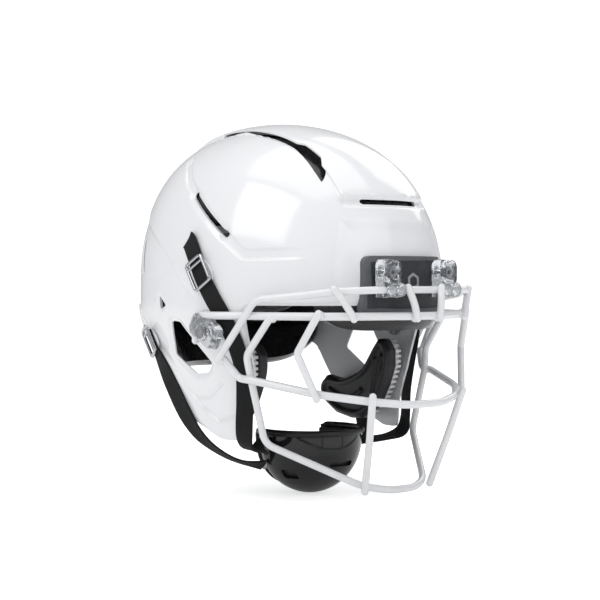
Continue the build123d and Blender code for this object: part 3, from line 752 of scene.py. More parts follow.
@dataclass
class Shell:
    """The moulded shell with its ridge, grooves, bands, windows and vents."""

    paints: Paints
    form: ShellForm = field(default_factory=lambda: FORM)
    ridge_rise: float = 3.2
    ridge_half: float = 47.0
    cuts: int = 56
    floor: float = -134.0
    fine_reaches: Point2 = (8.0, 3.8)
    edge: list[Point2] = field(default_factory=lambda: [
        (-240, -3), (-60, -3), (-57, -62), (-46, -96), (-45, -118), (-22, -118), (30, -97), (51, -71),
        (70, -44), (103, -36), (240, -70)])
    edge_radii: list[float] = field(default_factory=lambda: [13, 20, 20, 9, 25, 20, 30, 20, 30])
    ear: list[Point2] = field(default_factory=lambda: [
        (17, -18), (30, -17), (36, -47), (9, -63), (-8, -61), (-15, -53)])
    vent: list[Point2] = field(default_factory=lambda: [(47, 5), (35, -4), (45, -8)])
    side_slot: tuple[Point2, float, float, float] = ((-14, 74), 64.6, 5.2, 36)
    rear_side_slot: tuple[Point2, float, float, float] = ((92, 40), 30, 4.2, 76)
    front_slot: tuple[Point2, float, float, float] = ((0, 83), 66, 4.2, 0)
    gap: list[Point2] = field(default_factory=lambda: [
        (-41.3, 44), (-44.4, -14), (-45.1, -57), (-41.5, -64), (-42.0, -84), (-49.5, -94), (-54, -99),
        (-53, -88), (-50.6, -74), (-47.9, -57), (-46.6, -14), (-43.5, 44)])
    lip_room: list[Point2] = field(default_factory=lambda: [
        (-31, 43), (-32, -14), (-32, -57), (-33, -84), (-42, -94), (-53, -98),
        (-52.5, -88), (-50, -74), (-47.3, -57), (-46, -14), (-43, 43)])
    lip_floor: float = 1.7
    step_rise: float = 1.4
    groove_z: float = 83.0
    groove_deep: float = 1.7
    panel_deep: float = 1.9
    panel_slope: float = 7.5
    crease_deep: float = 1.6
    band_rise: float = 1.8
    ledge_deep: float = 2.1
    edge_fall: float = 1.1
    front_half: float = 4.2
    rear_half: float = 3.4
    band: list[Point2] = field(default_factory=lambda: [
        (112, -4), (98, -9), (66, -36), (28, -71), (2, -91), (-20, -103), (-41, -96)])
    front_channel: list[Point2] = field(default_factory=lambda: [(-38, 56), (-60, 39.5), (-112, 40)])
    rear_channel: list[Point2] = field(default_factory=lambda: [(10, 93), (28, 105.5), (42, 118), (56, 128)])
    crease: list[Point2] = field(default_factory=lambda: [(112, 92), (91, 71), (38, 44), (8, 17), (-10, 3)])
    flap_line: list[Point2] = field(default_factory=lambda: [(-24, -70), (-8, -82), (10, -84)])
    panel: list[Point2] = field(default_factory=lambda: [
        (-54.5, 67), (-65, 37), (-67, -20), (67, -20), (65, 37), (54.5, 67)])

    def bent_edge(self) -> list[Point2]:
        """The face and lower edge with its corners rounded."""
        made = [self.edge[0]]
        for before, here, after, radius in zip(self.edge, self.edge[1:], self.edge[2:], self.edge_radii):
            h, b, a = Vector(here), Vector(before), Vector(after)
            half = (b - h).angle(a - h) / 2
            cut = min(radius / math.tan(half), 0.49 * min((b - h).length, (a - h).length))
            start, end = h + (b - h).normalized() * cut, h + (a - h).normalized() * cut
            for i in range(9):
                t = i / 8
                made.append(tuple((1 - t) ** 2 * start + 2 * t * (1 - t) * h + t * t * end))
        return made + [self.edge[-1]]

    def half_band(self, y: np.ndarray) -> np.ndarray:
        """Half width of the crown's centre band along the helmet."""
        return self.ridge_half - np.interp(y, [-120, 10, 96], [0, 2, 9])

    def crown_relief(self, x: np.ndarray, y: np.ndarray, z: np.ndarray) -> np.ndarray:
        """Height of the centre band over the crown and of the low step that goes on down the back."""
        limit = self.half_band(y)
        front_end = smooth((z - self.groove_z - 3.3) / 3.0 + 0.5) * (y < 40)
        back_end = (y >= 40) * smooth((z - 66) / 10)
        ends = np.where(z > 60, front_end + back_end, 0)
        band = smooth((limit - x) / 3.0 + 0.5) * smooth((104 - y) / 12) * ends
        step = smooth((limit - 4 - x) / 4 + 0.5) * (y > 40) * smooth((86 - z) / 10) * smooth((z - 10) / 14)
        return self.ridge_rise * band + self.step_rise * step

    def forehead_relief(self, p: np.ndarray) -> np.ndarray:
        """Depth of the groove round the forehead slot and of the sunk forehead panel."""
        front, ahead_of = p[:, [0, 2]], p[:, 1] < -40
        groove = smooth((50 - np.abs(p[:, 0])) / 3) * smooth(1.4 - np.abs(p[:, 2] - self.groove_z) / 3.4)
        dist, _, _ = path_distance(front, self.panel, closed=True)
        sunk = np.clip(np.where(inside(front, self.panel), dist, -dist) / self.panel_slope, 0, 1)
        return -(self.groove_deep * groove + self.panel_deep * sunk) * ahead_of

    def side_relief(self, side: np.ndarray) -> np.ndarray:
        """Height of the channels, crease, lower band and window ledges seen from the side."""
        y, z = side.T
        height = np.zeros(len(side))
        # channels beside the side slot: line, half width, depth and share that fades out
        for line, half, deep, fade in (
            (self.front_channel, self.front_half, 1.9, 0.35),
            (self.rear_channel, self.rear_half, 1.7, 0.2),
        ):
            dist, _, along = path_distance(side, line)
            height -= deep * smooth((1 - along) / fade) * smooth((half - dist) / 2.0 + 0.5)
        # rounded troughs: line, whether it is closed, depth and reach
        for line, closed, deep, reach in (
            (slot_outline(*self.side_slot), True, 1.7, 4.6),
            (slot_outline(*self.rear_side_slot), True, 1.0, 4.0),
            (rounded(self.vent, 2), True, 1.2, 3.4),
            (self.flap_line, False, 0.9, 2.4),
        ):
            height -= deep * smooth(1 - path_distance(side, line, closed)[0] / reach)
        # crease down the side
        dist, way, along = path_distance(side, self.crease)
        below = np.where(way > 0, dist, -dist)
        ends = smooth(np.minimum(along, 1 - along) / 0.12 + 0.05)
        height -= self.crease_deep * smooth(below / 2.6 + 0.5) * smooth(1 - below / 34) * ends
        # raised lower band
        line = np.array(self.band[::-1], float)
        dist, _, _ = path_distance(side, self.band)
        low = np.where(z < np.interp(y, line[:, 0], line[:, 1]), dist, -dist)
        height += self.band_rise * smooth(low / 2.6 + 0.5) * (y > -44) * (y < 125) * smooth((y + 44) / 4)
        # ledge round the ear window
        dist, _, _ = path_distance(side, rounded(self.ear, 5), closed=True)
        height -= self.ledge_deep * np.where(inside(side, self.ear), 1.0, smooth(1 - dist / 5.5))
        return height

    def edge_relief(self, x: np.ndarray, y: np.ndarray, z: np.ndarray) -> np.ndarray:
        """Depth by which the crown gap's rim and every free edge fall away roundly."""
        gap, _, _ = path_distance(np.stack([-x, y], 1), self.gap, closed=True)
        edge, _, _ = path_distance(np.stack([y, z], 1), self.bent_edge())
        fall = (0.3 + 0.3 * (x > self.half_band(y) + 1)) * (z > 60) * smooth(1 - gap / 3.4)
        return -fall - self.edge_fall * smooth(1 - edge / 3.2)

    def relief(self, p: np.ndarray) -> np.ndarray:
        """Height of the moulded detail above the plain form.

        Args:
            p: Points on the plain form, in millimetres.

        Returns:
            The height at each point, in millimetres.
        """
        x, y, z = np.abs(p[:, 0]), p[:, 1], p[:, 2]
        lateral = smooth((x - 40) / 15)
        return (self.crown_relief(x, y, z) + self.forehead_relief(p) + self.side_relief(p[:, 1:]) * lateral
                + self.edge_relief(x, y, z))

    def seams(self, p: np.ndarray) -> np.ndarray:
        """Distance from points to the nearest line of moulded detail, in millimetres."""
        x, y, z = np.abs(p[:, 0]), p[:, 1], p[:, 2]
        side, front, plan = p[:, 1:], p[:, [0, 2]], np.stack([-x, y], 1)
        outer = x > 42
        found = [
            ((z > 60) & (y < 104), np.abs(x - self.half_band(y))),
            ((y < -40) & (x < 50), np.abs(z - self.groove_z) * 0.7),
            (y < -40, path_distance(front, self.panel, closed=True)[0]),
            (z > 60, path_distance(plan, self.gap, closed=True)[0]),
            (x >= 0, path_distance(side, self.bent_edge())[0]),
        ]
        channels = ((self.front_channel, self.front_half), (self.rear_channel, self.rear_half))
        for line, offset in (*channels, (self.crease, 0), (self.band, 0), (self.flap_line, 0)):
            found.append((outer, np.abs(path_distance(side, line)[0] - offset)))
        for line in (slot_outline(*self.side_slot), slot_outline(*self.rear_side_slot), self.ear, self.vent):
            found.append((outer, path_distance(side, line, closed=True)[0]))
        return np.min([np.where(where, dist, 1e9) for where, dist in found], axis=0)

    def skin(self) -> bpy.types.Object:
        """The closed outer form with all of its relief, finer beside the detail."""
        piece = egg("helmet_shell", 0.0, self.cuts, self.floor)

        def settle(points: np.ndarray) -> np.ndarray:
            """Puts new points on the form."""
            ways = unit(points / MM - np.array(self.form.middle))
            return self.form.cast(ways, self.form.middle, 0.0, self.floor) * MM

        for reach in self.fine_reaches:
            p = Bench.points(piece) / MM
            close = (self.seams(p) < reach) & (p[:, 2] > self.floor + 8)
            chosen = np.array([all(close[v] for v in f.vertices) for f in piece.data.polygons])
            Bench.shape(Bench.refine(piece, chosen), settle)

        def raise_detail(co: np.ndarray) -> np.ndarray:
            """Raises the relief off the form."""
            p = co / MM
            body = p[:, 2] > self.floor + 2
            lift = np.where(body, self.relief(p), 0.0)
            return (p + self.form.outward(p) * lift[:, None]) * MM

        return Bench.clean(Bench.shape(piece, raise_detail))

    def tools(self) -> bpy.types.Object:
        """Every through cut, joined: the face and neck, the windows, slots, vents and screw holes."""
        made = []
        lower = self.bent_edge() + [(240, -240), (-240, -240)]
        made.append(Bench.prism("face_tool", lower, across, -140, 140))
        for side in (-1, 1):
            for outline in (rounded(self.ear, 4), rounded(self.vent, 1.6, 3), slot_outline(*self.side_slot),
                            slot_outline(*self.rear_side_slot)):
                made.append(Bench.prism("side_tool", outline, across, side * 60, side * 140))
            gap = [(side * -u, v) for u, v in self.gap]
            made.append(Bench.prism("gap_tool", rounded(gap, 1.2, 2), down, 84, 190))
            made.append(Bench.prism("rear_tool", slot_outline((side * 26, 52), 30, 4.2), ahead, 80, 190))
            hole = circle((side * CLIP_MIDDLE, CLIP_SCREW_Z), 4.2, 16)
            made.append(Bench.prism("nut_tool", hole, ahead, -190, -100))
        made.append(Bench.prism("slot_tool", slot_outline(*self.front_slot), ahead, -190, -60))
        return Bench.join("cut_tools", made)

    def undercut(self, side: int) -> bpy.types.Object:
        """The room under the crown band's lip on one side."""
        tool = egg("lip_room", self.lip_floor, 70)
        plan = [(side * -u, v) for u, v in self.lip_room]
        return Bench.cut(tool, Bench.prism("lip_edge", rounded(plan, 1.2, 2), down, 84, 190), "INTERSECT")

    def build(self) -> bpy.types.Object:
        """Cuts the shell out, marks its inner side and dresses it."""
        piece = self.skin()
        Bench.cut(piece, egg("cavity_tool", -self.form.wall))
        Bench.cut(piece, self.tools())
        for side in (-1, 1):
            Bench.cut(piece, self.undercut(side))
        # marks the inner side, which the shell's material paints light grey as shade
        deep = self.form.level(Bench.points(piece) / MM, -self.form.wall) < 1.004
        mark = piece.data.attributes.new("inner_side", "FLOAT", "POINT")
        mark.data.foreach_set("value", deep.astype(np.float32))
        return Bench.finish(piece, "shell", "shell_white", self.paints.shell, 40, ["shell"])
# ---- front bumper and the guard's clips -----------------------------------------------------------


@dataclass
class Bumper:
    """The forehead plate with its sloped border, sunk face and plain raised mark."""

    paints: Paints
    thick: float = 3.4
    outline: list[Point2] = field(default_factory=lambda: [
        (-50, -9), (-47, 4), (-45, 38), (45, 38), (47, 4), (50, -9)])
    border: float = 4.0
    sink: float = 1.3
    mark_centre: Point2 = (0.0, 17.0)
    mark_radius: float = 7.2
    mark_hole: float = 4.752

    def build(self) -> None:
        """Makes the plate and its mark."""
        plate = egg("front_bumper_plate", self.thick, 60)
        Bench.cut(plate, egg("bumper_back", -1.7, 60, -145.0))
        Bench.cut(plate, Bench.prism("bumper_edge", rounded(self.outline, 8), ahead, -190, -60), "INTERSECT")
        inner = [(u * (1 - self.border / 47), 14.5 + (v - 14.5) * (1 - self.border / 24))
                 for u, v in self.outline]
        face = egg("bumper_face", self.thick + 9, 60)
        Bench.cut(face, egg("bumper_floor", self.thick - self.sink, 60, -145.0))
        Bench.cut(face, Bench.prism("face_edge", rounded(inner, 6), ahead, -145, -160, 4.0), "INTERSECT")
        Bench.cut(plate, face)
        Bench.bevel(plate, 0.7, 2, 40)
        Bench.dress(plate, self.paints.bumper, self.paints.bumper_edge)
        faces = plate.data.polygons
        centres = np.array([f.center for f in faces]) / MM
        rim = ~inside(centres[:, [0, 2]], inner)
        faces.foreach_set("material_index", rim.astype(np.int32))
        Bench.finish(plate, "shell", "bumper_grey", self.paints.bumper, 35, ["front_bumper"])
        ring = circle(self.mark_centre, self.mark_radius, 6, 30)
        core = circle(self.mark_centre, self.mark_hole, 6, 30)
        mark = egg("bumper_mark", self.thick - self.sink + 0.7, 60)
        Bench.cut(mark, Bench.prism("mark_edge", ring, ahead, -190, -60), "INTERSECT")
        Bench.cut(mark, Bench.prism("mark_hole", core, ahead, -200, -50))
        Bench.cut(mark, egg("mark_back", self.thick - self.sink - 0.6, 60, -145.0))
        Bench.finish(mark, "shell", "bumper_grey", self.paints.mark, 30)


@dataclass
class Clips:
    """Clear clips: two on the bumper round the top bar, two on the sides round the eye bar's ends."""

    paints: Paints
    back: float = -150.6
    front: float = -164.0
    pivot: Point2 = (-160.5, 10.0)
    loop: float = 6.33
    bore: float = 3.13
    side_x: float = 118.6
    side_thick: float = 8.6
    side_screw: Point2 = (-30.0, -25.5)

    def front_clip(self, hand: Hand) -> None:
        """A domed block with a deep screw well, and a split loop below it round the top bar."""
        mid = hand.value * CLIP_MIDDLE
        outline = rounded(oblong(mid - 10, mid + 10, 12, 35.5), 7.5, 7)
        clip = Bench.prism("front_clip_clear_" + hand.word, outline, ahead, self.back, self.front + 2.5, -0.6)
        top = Bench.prism("dome", [(mid + (u - mid) * 0.93, 24 + (v - 24) * 0.93) for u, v in outline], ahead,
                          self.front + 3, self.front, -2.6)
        Bench.cut(clip, top, "UNION")
        loop = circle(self.pivot, self.loop, 32)
        Bench.cut(clip, Bench.prism("loop", loop, across, mid - 9.6, mid + 9.6), "UNION")
        neck = oblong(self.back, self.pivot[0] + 1, 3.8, 20)
        Bench.cut(clip, Bench.prism("neck", neck, across, mid - 9.4, mid + 9.4), "UNION")
        Bench.cut(clip, Bench.prism("bore", circle(self.pivot, self.bore, 32), across, mid - 12, mid + 12))
        screw = (mid, CLIP_SCREW_Z)
        Bench.cut(clip, Bench.prism("well", circle(screw, 5.6), ahead, -157.6, self.front - 2, 1.2))
        Bench.cut(clip, Bench.prism("hole", circle(screw, 2.576), ahead, -145, -175))
        Bench.cut(clip, Bench.prism("split", oblong(mid - 1.1, mid + 1.1, -2, 13), ahead, -159.5, -175))
        Bench.bevel(clip, 0.8, 2, 32)
        Bench.finish(clip, "shell", "clip_clear", self.paints.clip, 30, ["front_clip_" + hand.word])

    def side_clip(self, hand: Hand) -> None:
        """A tilted block with a domed screw well and a ribbed rear end."""
        c, s = math.cos(math.radians(30)), math.sin(math.radians(30))
        centre = (self.side_screw[0] + 1.5, self.side_screw[1] + 1.5)

        def turned(u: float, v: float) -> Point2:
            """A point along and across the block, in the side view."""
            return (centre[0] + u * c - v * s, centre[1] + u * s + v * c)

        outline = [turned(*p) for p in rounded([(-18, -11), (18, -11), (18, 11), (-18, 11)], 7, 6)]
        near, far = hand.value * self.side_x, hand.value * (self.side_x + self.side_thick)
        clip = Bench.prism("side_clip_clear_" + hand.word, outline, across, near, far, -2.4)
        side = hand.value
        for name, radius, back, front, flare, how in (
            ("dome", 8.6, near, far + side * 3.0, -1.5, "UNION"),
            ("well", 5.4, far - side * 0.2, far + side * 6, 0.6, "DIFFERENCE"),
            ("hole", 2.538, near - side * 5, far + side * 6, 0.0, "DIFFERENCE"),
        ):
            round_tool = Bench.prism(name, circle(self.side_screw, radius), across, back, front, flare)
            Bench.cut(clip, round_tool, how)
        for i in range(4):
            start = 10.6 + i * 1.9
            end = start + 0.9
            rib = [turned(*p) for p in ((start, -14), (end, -14), (end, 14), (start, 14))]
            Bench.cut(clip, Bench.prism("rib", rib, across, far - side * 1.2, far + side * 6))
        Bench.bevel(clip, 0.6, 2, 32)
        Bench.finish(clip, "faceguard", "clip_clear", self.paints.clip, 30, ["side_clip_" + hand.word])

    def build(self) -> None:
        """Makes the four clips."""
        for hand in Hand:
            self.front_clip(hand)
            self.side_clip(hand)


# ---- the guard -------------------------------------------------------------------------------------


@dataclass
class Guard:
    """Dresses the welded wires and adds their weld beads and rounded ends."""

    paints: Paints
    bars: tuple[str, ...] = ("top_bar", "eye_bar", "mouth_bar", "lower_loop", "cheek_bars", "front_uprights",
                             "inner_struts", "outer_struts")
    light_ends: list[Point3] = field(default_factory=lambda: [
        (-123, -45.8, -48), (-104, -90, -13), (-88.5, -131.5, -9), (-87, -127.5, -78), (-54, -158.6, -76),
        (-39, -134.2, -156.5), (-20, -165, 12), (-13.5, -169.5, -13.5), (-80.5, -141.2, 10.6),
        (-66, -149.2, -13.5)])
    heavy_ends: list[Point3] = field(default_factory=lambda: [(-118.2, -48, -48), (-121.5, -14, -33)])

    def meetings(self) -> list[Point3]:
        """Where two bars' surfaces meet, one place for each weld."""
        found: list[np.ndarray] = []
        clouds = {name: Bench.points(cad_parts[name]) for name in self.bars}
        for i, one in enumerate(self.bars):
            for other in self.bars[i + 1:]:
                a, b = clouds[one], clouds[other]
                for start in range(0, len(a), 2000):
                    part = a[start:start + 2000]
                    gap = np.linalg.norm(part[:, None] - b[None], axis=2).min(axis=1)
                    for spot in part[gap < 0.0011]:
                        if all(np.linalg.norm(spot - f) > 0.011 for f in found):
                            near = part[np.linalg.norm(part - spot, axis=1) < 0.006]
                            close = near[np.linalg.norm(near[:, None] - b[None], axis=2).min(axis=1) < 0.0014]
                            found.append(close.mean(axis=0))
        return [tuple(f) for f in found]

    def bead(self, name: str, place: Point3, radius: float, squash: float = 1.0) -> bpy.types.Object:
        """A small smooth ball of metal."""
        Bench.clear()
        bpy.ops.mesh.primitive_uv_sphere_add(segments=20, ring_count=12, radius=radius * MM, location=place)
        piece = Bench.named(name)
        piece.scale = (1, 1, squash)
        return Bench.settle(piece)

    def build(self) -> None:
        """Dresses the bars and adds the beads and ends."""
        for name in self.bars:
            Bench.dress(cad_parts[name], self.paints.guard)
        beads = [self.bead("bead", spot, 3.3, 0.9) for spot in self.meetings()]
        log.info("weld beads: %d", len(beads))
        tips = []
        for ends, radius in ((self.light_ends, LIGHT_WIRE), (self.heavy_ends, HEAVY_WIRE)):
            for x, y, z in ends:
                for side in (1, -1):
                    tips.append(self.bead("tip", (side * x * MM, y * MM, z * MM), radius * 1.01))
        Bench.finish(Bench.join("guard_weld_beads", beads), "faceguard", "guard_coat", self.paints.guard, 60)
        Bench.finish(Bench.join("guard_bar_tips", tips), "faceguard", "guard_coat", self.paints.guard, 60)


# ---- padding ---------------------------------------------------------------------------------------


@dataclass(frozen=True)
class WallPad:
    """A pad against the shell's wall, between two turns and two heights, with sewn panels."""

    name: str
    turns: Point2
    heights: Point2
    panels: tuple[int, int]
    body: str = "shell"
    back: float = 4.4
    thick: float = 21.5
    cuts: int = 44
    puff: float = 0.3

    def wall(self, turn: np.ndarray, z: np.ndarray, grow: np.ndarray) -> np.ndarray:
        """A point of the level section at each turn and height, for each growth."""
        s = FORM.share(z, -self.back)
        power = FORM.power(np.sin(turn))
        c, d = np.cos(turn), np.sin(turn)
        x = np.sign(c) * np.abs(c) ** (2 / power) * (FORM.half_width + grow) * s
        y = np.sign(d) * np.abs(d) ** (2 / power) * (FORM.half_length + grow) * s + FORM.centre(z)
        return np.stack([x, y, z], axis=1)

    def build(self, paint: bpy.types.Material) -> bpy.types.Object:
        """Makes the pad, crowned between its channels and rounded at its rim."""
        piece = Bench.cube(self.name.replace("_pad", "_cushion"), self.cuts)

        def form(co: np.ndarray) -> np.ndarray:
            """Sends the cube's points to the pad."""
            u, v, w = co.T
            rim = np.maximum(np.abs(u), np.abs(v))
            turn = np.radians(np.interp(u * (1 - 0.1 * np.abs(v) ** 6), [-1, 1], self.turns))
            z = np.interp(v * (1 - 0.24 * np.abs(u) ** 6), [-1, 1], self.heights)
            cell_u = ((u + 1) / 2 * self.panels[0]) % 1 * 2 - 1
            cell_v = ((v + 1) / 2 * self.panels[1]) % 1 * 2 - 1
            swell = (1 - np.abs(cell_u) ** 7) * (1 - np.abs(cell_v) ** 7)
            inset = (1 - np.abs(cell_u * 1.35).clip(0, 1) ** 8) * (1 - np.abs(cell_v * 1.35).clip(0, 1) ** 8)
            edge = smooth((1 - rim) / 0.09)
            inner = self.thick * (0.62 + 0.38 * edge) * (1 - self.puff + self.puff * swell - 0.06 * inset)
            outer = 0.6 + 1.8 * (1 - edge)
            deep = np.where(w > 0, inner, outer) * np.abs(w) + (1 - np.abs(w)) * (inner + outer) / 2
            grow = -(self.back + deep)
            return self.wall(turn, z, grow) * MM

        Bench.shape(piece, form)
        Bench.clean(piece)
        Bench.finish(piece, self.body, "liner_black", paint, 50, [self.name])
        return piece


@dataclass
class CrownPad:
    """The pad under the crown: a dome with a ring of panels round a middle one."""

    paint: bpy.types.Material
    floor: float = 59.5
    back: float = 4.4
    thick: float = 21.5

    def build(self) -> bpy.types.Object:
        """Makes the dome pad."""
        piece = Bench.cube("crown_cushion", 56)

        def form(co: np.ndarray) -> np.ndarray:
            """Sends the cube's points to the dome."""
            u, v, w = co.T
            du, dv = u * np.sqrt(1 - v * v / 2), v * np.sqrt(1 - u * u / 2)
            r, a = np.hypot(du, dv), np.arctan2(dv, du)
            rise = np.radians(90 - r * 80)
            ways = np.stack([np.cos(rise) * np.cos(a), np.cos(rise) * np.sin(a), np.sin(rise)], axis=1)
            edge = smooth((1 - r) / 0.07)
            spokes = np.abs(np.sin(a * 4)) ** 0.35
            ring = 1 - np.exp(-(((r - 0.42) / 0.035) ** 2))
            swell = np.where(r > 0.42, spokes, 1.0) * ring
            inner = self.thick * (0.65 + 0.35 * edge) * (0.72 + 0.28 * swell)
            outer = 0.6 + 1.8 * (1 - edge)
            deep = np.where(w > 0, inner, outer) * np.abs(w) + (1 - np.abs(w)) * (inner + outer) / 2
            origin = (0.0, 8.0, 50.0)
            skin = FORM.cast(ways, origin, -self.back, 40.0)
            reach = np.linalg.norm(skin - np.array(origin), axis=1)
            p = np.array(origin) + ways * (reach - deep)[:, None]
            p[:, 2] = np.maximum(p[:, 2], self.floor)
            return p * MM

        Bench.clean(Bench.shape(piece, form))
        Bench.finish(piece, "shell", "liner_black", self.paint, 50, ["crown_pad"])
        return piece


@dataclass
class JawPads:
    """The cheek cushions with a raised border and two long ridges, on ribbed carriers."""

    paints: Paints
    face: float = 70.0
    split: float = 83.0
    back: float = 90.0
    outline: list[Point2] = field(default_factory=lambda: [
        (-36, -36), (-24, -52), (-14, -66), (12, -76), (33, -72), (43, -84), (36, -98), (20, -108), (0, -112),
        (-16, -111), (-34, -99), (-45, -80), (-52, -62), (-52, -46), (-45, -36)])
    snaps: tuple[Point2, ...] = ((-36, -66), (4, -94))
    ridges: list[list[Point2]] = field(default_factory=lambda: [
        [(-42.5, -51), (-40, -67), (-36.5, -87)], [(-33.5, -54), (-31.5, -68), (-28, -87)],
        [(-16, -84), (-8, -92), (8, -95), (29, -86)]])

    def shrunk(self, amount: float) -> list[Point2]:
        """The outline drawn in by an amount."""
        pts = [Vector(p) for p in self.outline]
        made = []
        for i, here in enumerate(pts):
            on, back = pts[(i + 1) % len(pts)], pts[i - 1]
            run = (on - here).normalized() + (here - back).normalized()
            way = Vector((run.y, -run.x)).normalized()
            made.append(tuple(here + way * amount))
        if not inside(np.array([made[2]]), self.outline)[0]:
            made = [tuple(2 * h - Vector(m)) for h, m in zip(pts, made)]
        return made

    def build(self) -> None:
        """Makes both pads and carriers."""
        for hand in Hand:
            side = hand.value
            pad = Bench.prism("jaw_cushion_" + hand.word, rounded(self.outline, 5, 4), across,
                              side * (self.split - 0.1), side * (self.face + 3.2))
            Bench.bevel(pad, 2.6, 3, 50)
            rim = [(side * (self.face + 3.6), *p) for p in self.shrunk(4.6)]
            border = Bench.tube("border", [tuple(Vector(p) * MM) for p in rim], 3.0 * MM, 12, closed=True)
            Bench.cut(pad, border, "UNION")
            for way in self.ridges:
                line = [tuple(Vector((side * (self.face + 3.4), *p)) * MM) for p in way]
                Bench.cut(pad, Bench.tube("ridge", line, 2.5 * MM, 12), "UNION")
            self.puff(pad)
            Bench.finish(pad, "jaw_pad_" + hand.word, "jaw_black", self.paints.foam, 50,
                         ["jaw_pad_" + hand.word])
            core = Bench.prism("jaw_carrier_ribbed_" + hand.word, rounded(self.shrunk(4.2), 4, 3), across,
                               side * (self.split + 0.1), side * (self.back - 0.4))
            full = Bench.prism("ribs", rounded(self.shrunk(1.6), 4, 3), across, side * (self.split + 0.1),
                               side * self.back)
            slabs = []
            for i in range(16):
                level = -111 + i * 4.8
                slab = oblong(-60, 60, level, level + 2.5)
                slabs.append(Bench.prism("slab", slab, across, side * 60, side * 100))
            Bench.cut(full, Bench.join("slabs", slabs), "INTERSECT")
            Bench.cut(core, full, "UNION")
            for snap in self.snaps:
                socket = circle(snap, 5.3, 20)
                Bench.cut(core, Bench.prism("socket", socket, across, side * (self.split + 1.5), side * 95))
            Bench.bevel(core, 0.35, 1, 40)
            Bench.finish(core, "jaw_pad_" + hand.word, "carrier_grey", self.paints.carrier, 35,
                         ["jaw_carrier_" + hand.word])

    def puff(self, pad: bpy.types.Object) -> None:
        """Evens the cushion's skin and rounds the joins of its ridges."""
        Bench.modify(pad, "REMESH", mode="VOXEL", voxel_size=0.0009)
        Bench.modify(pad, "SMOOTH", factor=0.6, iterations=3)
        Bench.modify(pad, "DECIMATE", ratio=0.35)


# ---- chin cup ---------------------------------------------------------------------------------------


@dataclass
class ChinCup:
    """The hard cup with its rolled rim, windows, soft lining and rivets."""

    paints: Paints
    centre: Point3 = (0.0, -24.0, -121.0)
    across_r: float = 47.0
    tall: float = 51.0
    wall: float = 2.6
    rim_z: float = -115.0
    back_y: float = 1.0

    def ball(self, name: str, less: float, cuts: int = 40) -> bpy.types.Object:
        """The cup's ellipsoid, smaller by an amount."""
        piece = Bench.cube(name, cuts)

        def form(co: np.ndarray) -> np.ndarray:
            """Sends the cube's points to the ellipsoid."""
            size = np.array([self.across_r - less, self.across_r - less, self.tall - less])
            return (np.array(self.centre) + ball_ways(co) * size) * MM

        return Bench.clean(Bench.shape(piece, form))

    def open_up(self, piece: bpy.types.Object, rise: float, reach: float) -> None:
        """Cuts a piece away above the rim and behind the cup."""
        back, rim = self.back_y - reach, self.rim_z + rise
        outline = [(-150, rim), (back, rim), (back, -220), (150, -220), (150, -20), (-150, -20)]
        Bench.cut(piece, Bench.prism("room", outline, across, -90, 90))

    def build(self) -> None:
        """Makes the cup, its rim, lining and rivets."""
        cy, cz = self.centre[1], self.centre[2]
        cup = self.ball("chin_cup_shell", 0.0, 52)
        Bench.cut(cup, self.ball("hollow", self.wall))
        self.open_up(cup, 0, 0)
        window = rounded(oblong(cy - 19, cy - 5, cz - 35, cz - 27), 2.4, 4)
        Bench.cut(cup, Bench.prism("windows", window, across, -60, 60))
        chin_slot = slot_outline((0, cz - 22), 26, 4.5)
        Bench.cut(cup, Bench.prism("chin_slot", chin_slot, ahead, -90, -55))
        Bench.bevel(cup, 0.7, 2, 40)
        Bench.finish(cup, "chin_cup", "cup_black", self.paints.cup, 35, ["chin_cup"])
        rim = []
        level = math.sqrt(1 - ((self.rim_z - cz) / self.tall) ** 2)
        for i in range(23):
            a = math.radians(-32 + 244 * i / 22)
            wide = self.across_r * level
            rim.append((wide * math.cos(a), cy - wide * math.sin(a), self.rim_z - 0.5))
        reach = math.sqrt(1 - ((self.back_y - cy) / self.across_r) ** 2)
        for i in range(1, 12):
            a = math.radians(180 + 180 * i / 12)
            z = cz + self.tall * reach * math.sin(a)
            rim.append((self.across_r * reach * math.cos(a), self.back_y - 0.5, min(z, self.rim_z - 2)))
        path = [tuple(Vector(p) * MM) for p in rim]
        roll = Bench.tube("chin_cup_rim", path, 2.9 * MM, 16, closed=True)
        Bench.finish(roll, "chin_cup", "cup_black", self.paints.cup_rim, 60)
        pad = self.ball("chin_cup_lining", self.wall + 0.15, 44)
        Bench.cut(pad, self.ball("chin_room", self.wall + 6.0, 44))
        self.open_up(pad, -2.5, 2.0)
        Bench.modify(pad, "REMESH", mode="VOXEL", voxel_size=0.0014)
        Bench.modify(pad, "SMOOTH", factor=0.6, iterations=6)
        Bench.modify(pad, "DECIMATE", ratio=0.4)
        Bench.finish(pad, "chin_cup", "cup_liner", self.paints.foam, 60, ["chin_pad"])
        studs = []
        for side in (-1, 1):
            for y, z in ((cy + 12, cz - 6), (cy + 12, cz - 24)):
                level = ((y - cy) / self.across_r) ** 2 + ((z - cz) / self.tall) ** 2
                out = self.across_r * math.sqrt(1 - level)
                Bench.clear()
                bpy.ops.mesh.primitive_uv_sphere_add(segments=24, ring_count=12, radius=4.2 * MM,
                                                     location=(side * (out + 3.6) * MM, y * MM, z * MM))
                dome = Bench.named("rivet")
                dome.scale = (0.55, 1, 1)
                studs.append(Bench.settle(dome))
        rivets = Bench.join("chin_cup_rivets", studs)
        Bench.finish(rivets, "chin_cup", "hardware_steel", self.paints.steel, 50, ["chin_rivets"])


# ---- straps and buckles ---------------------------------------------------------------------------------


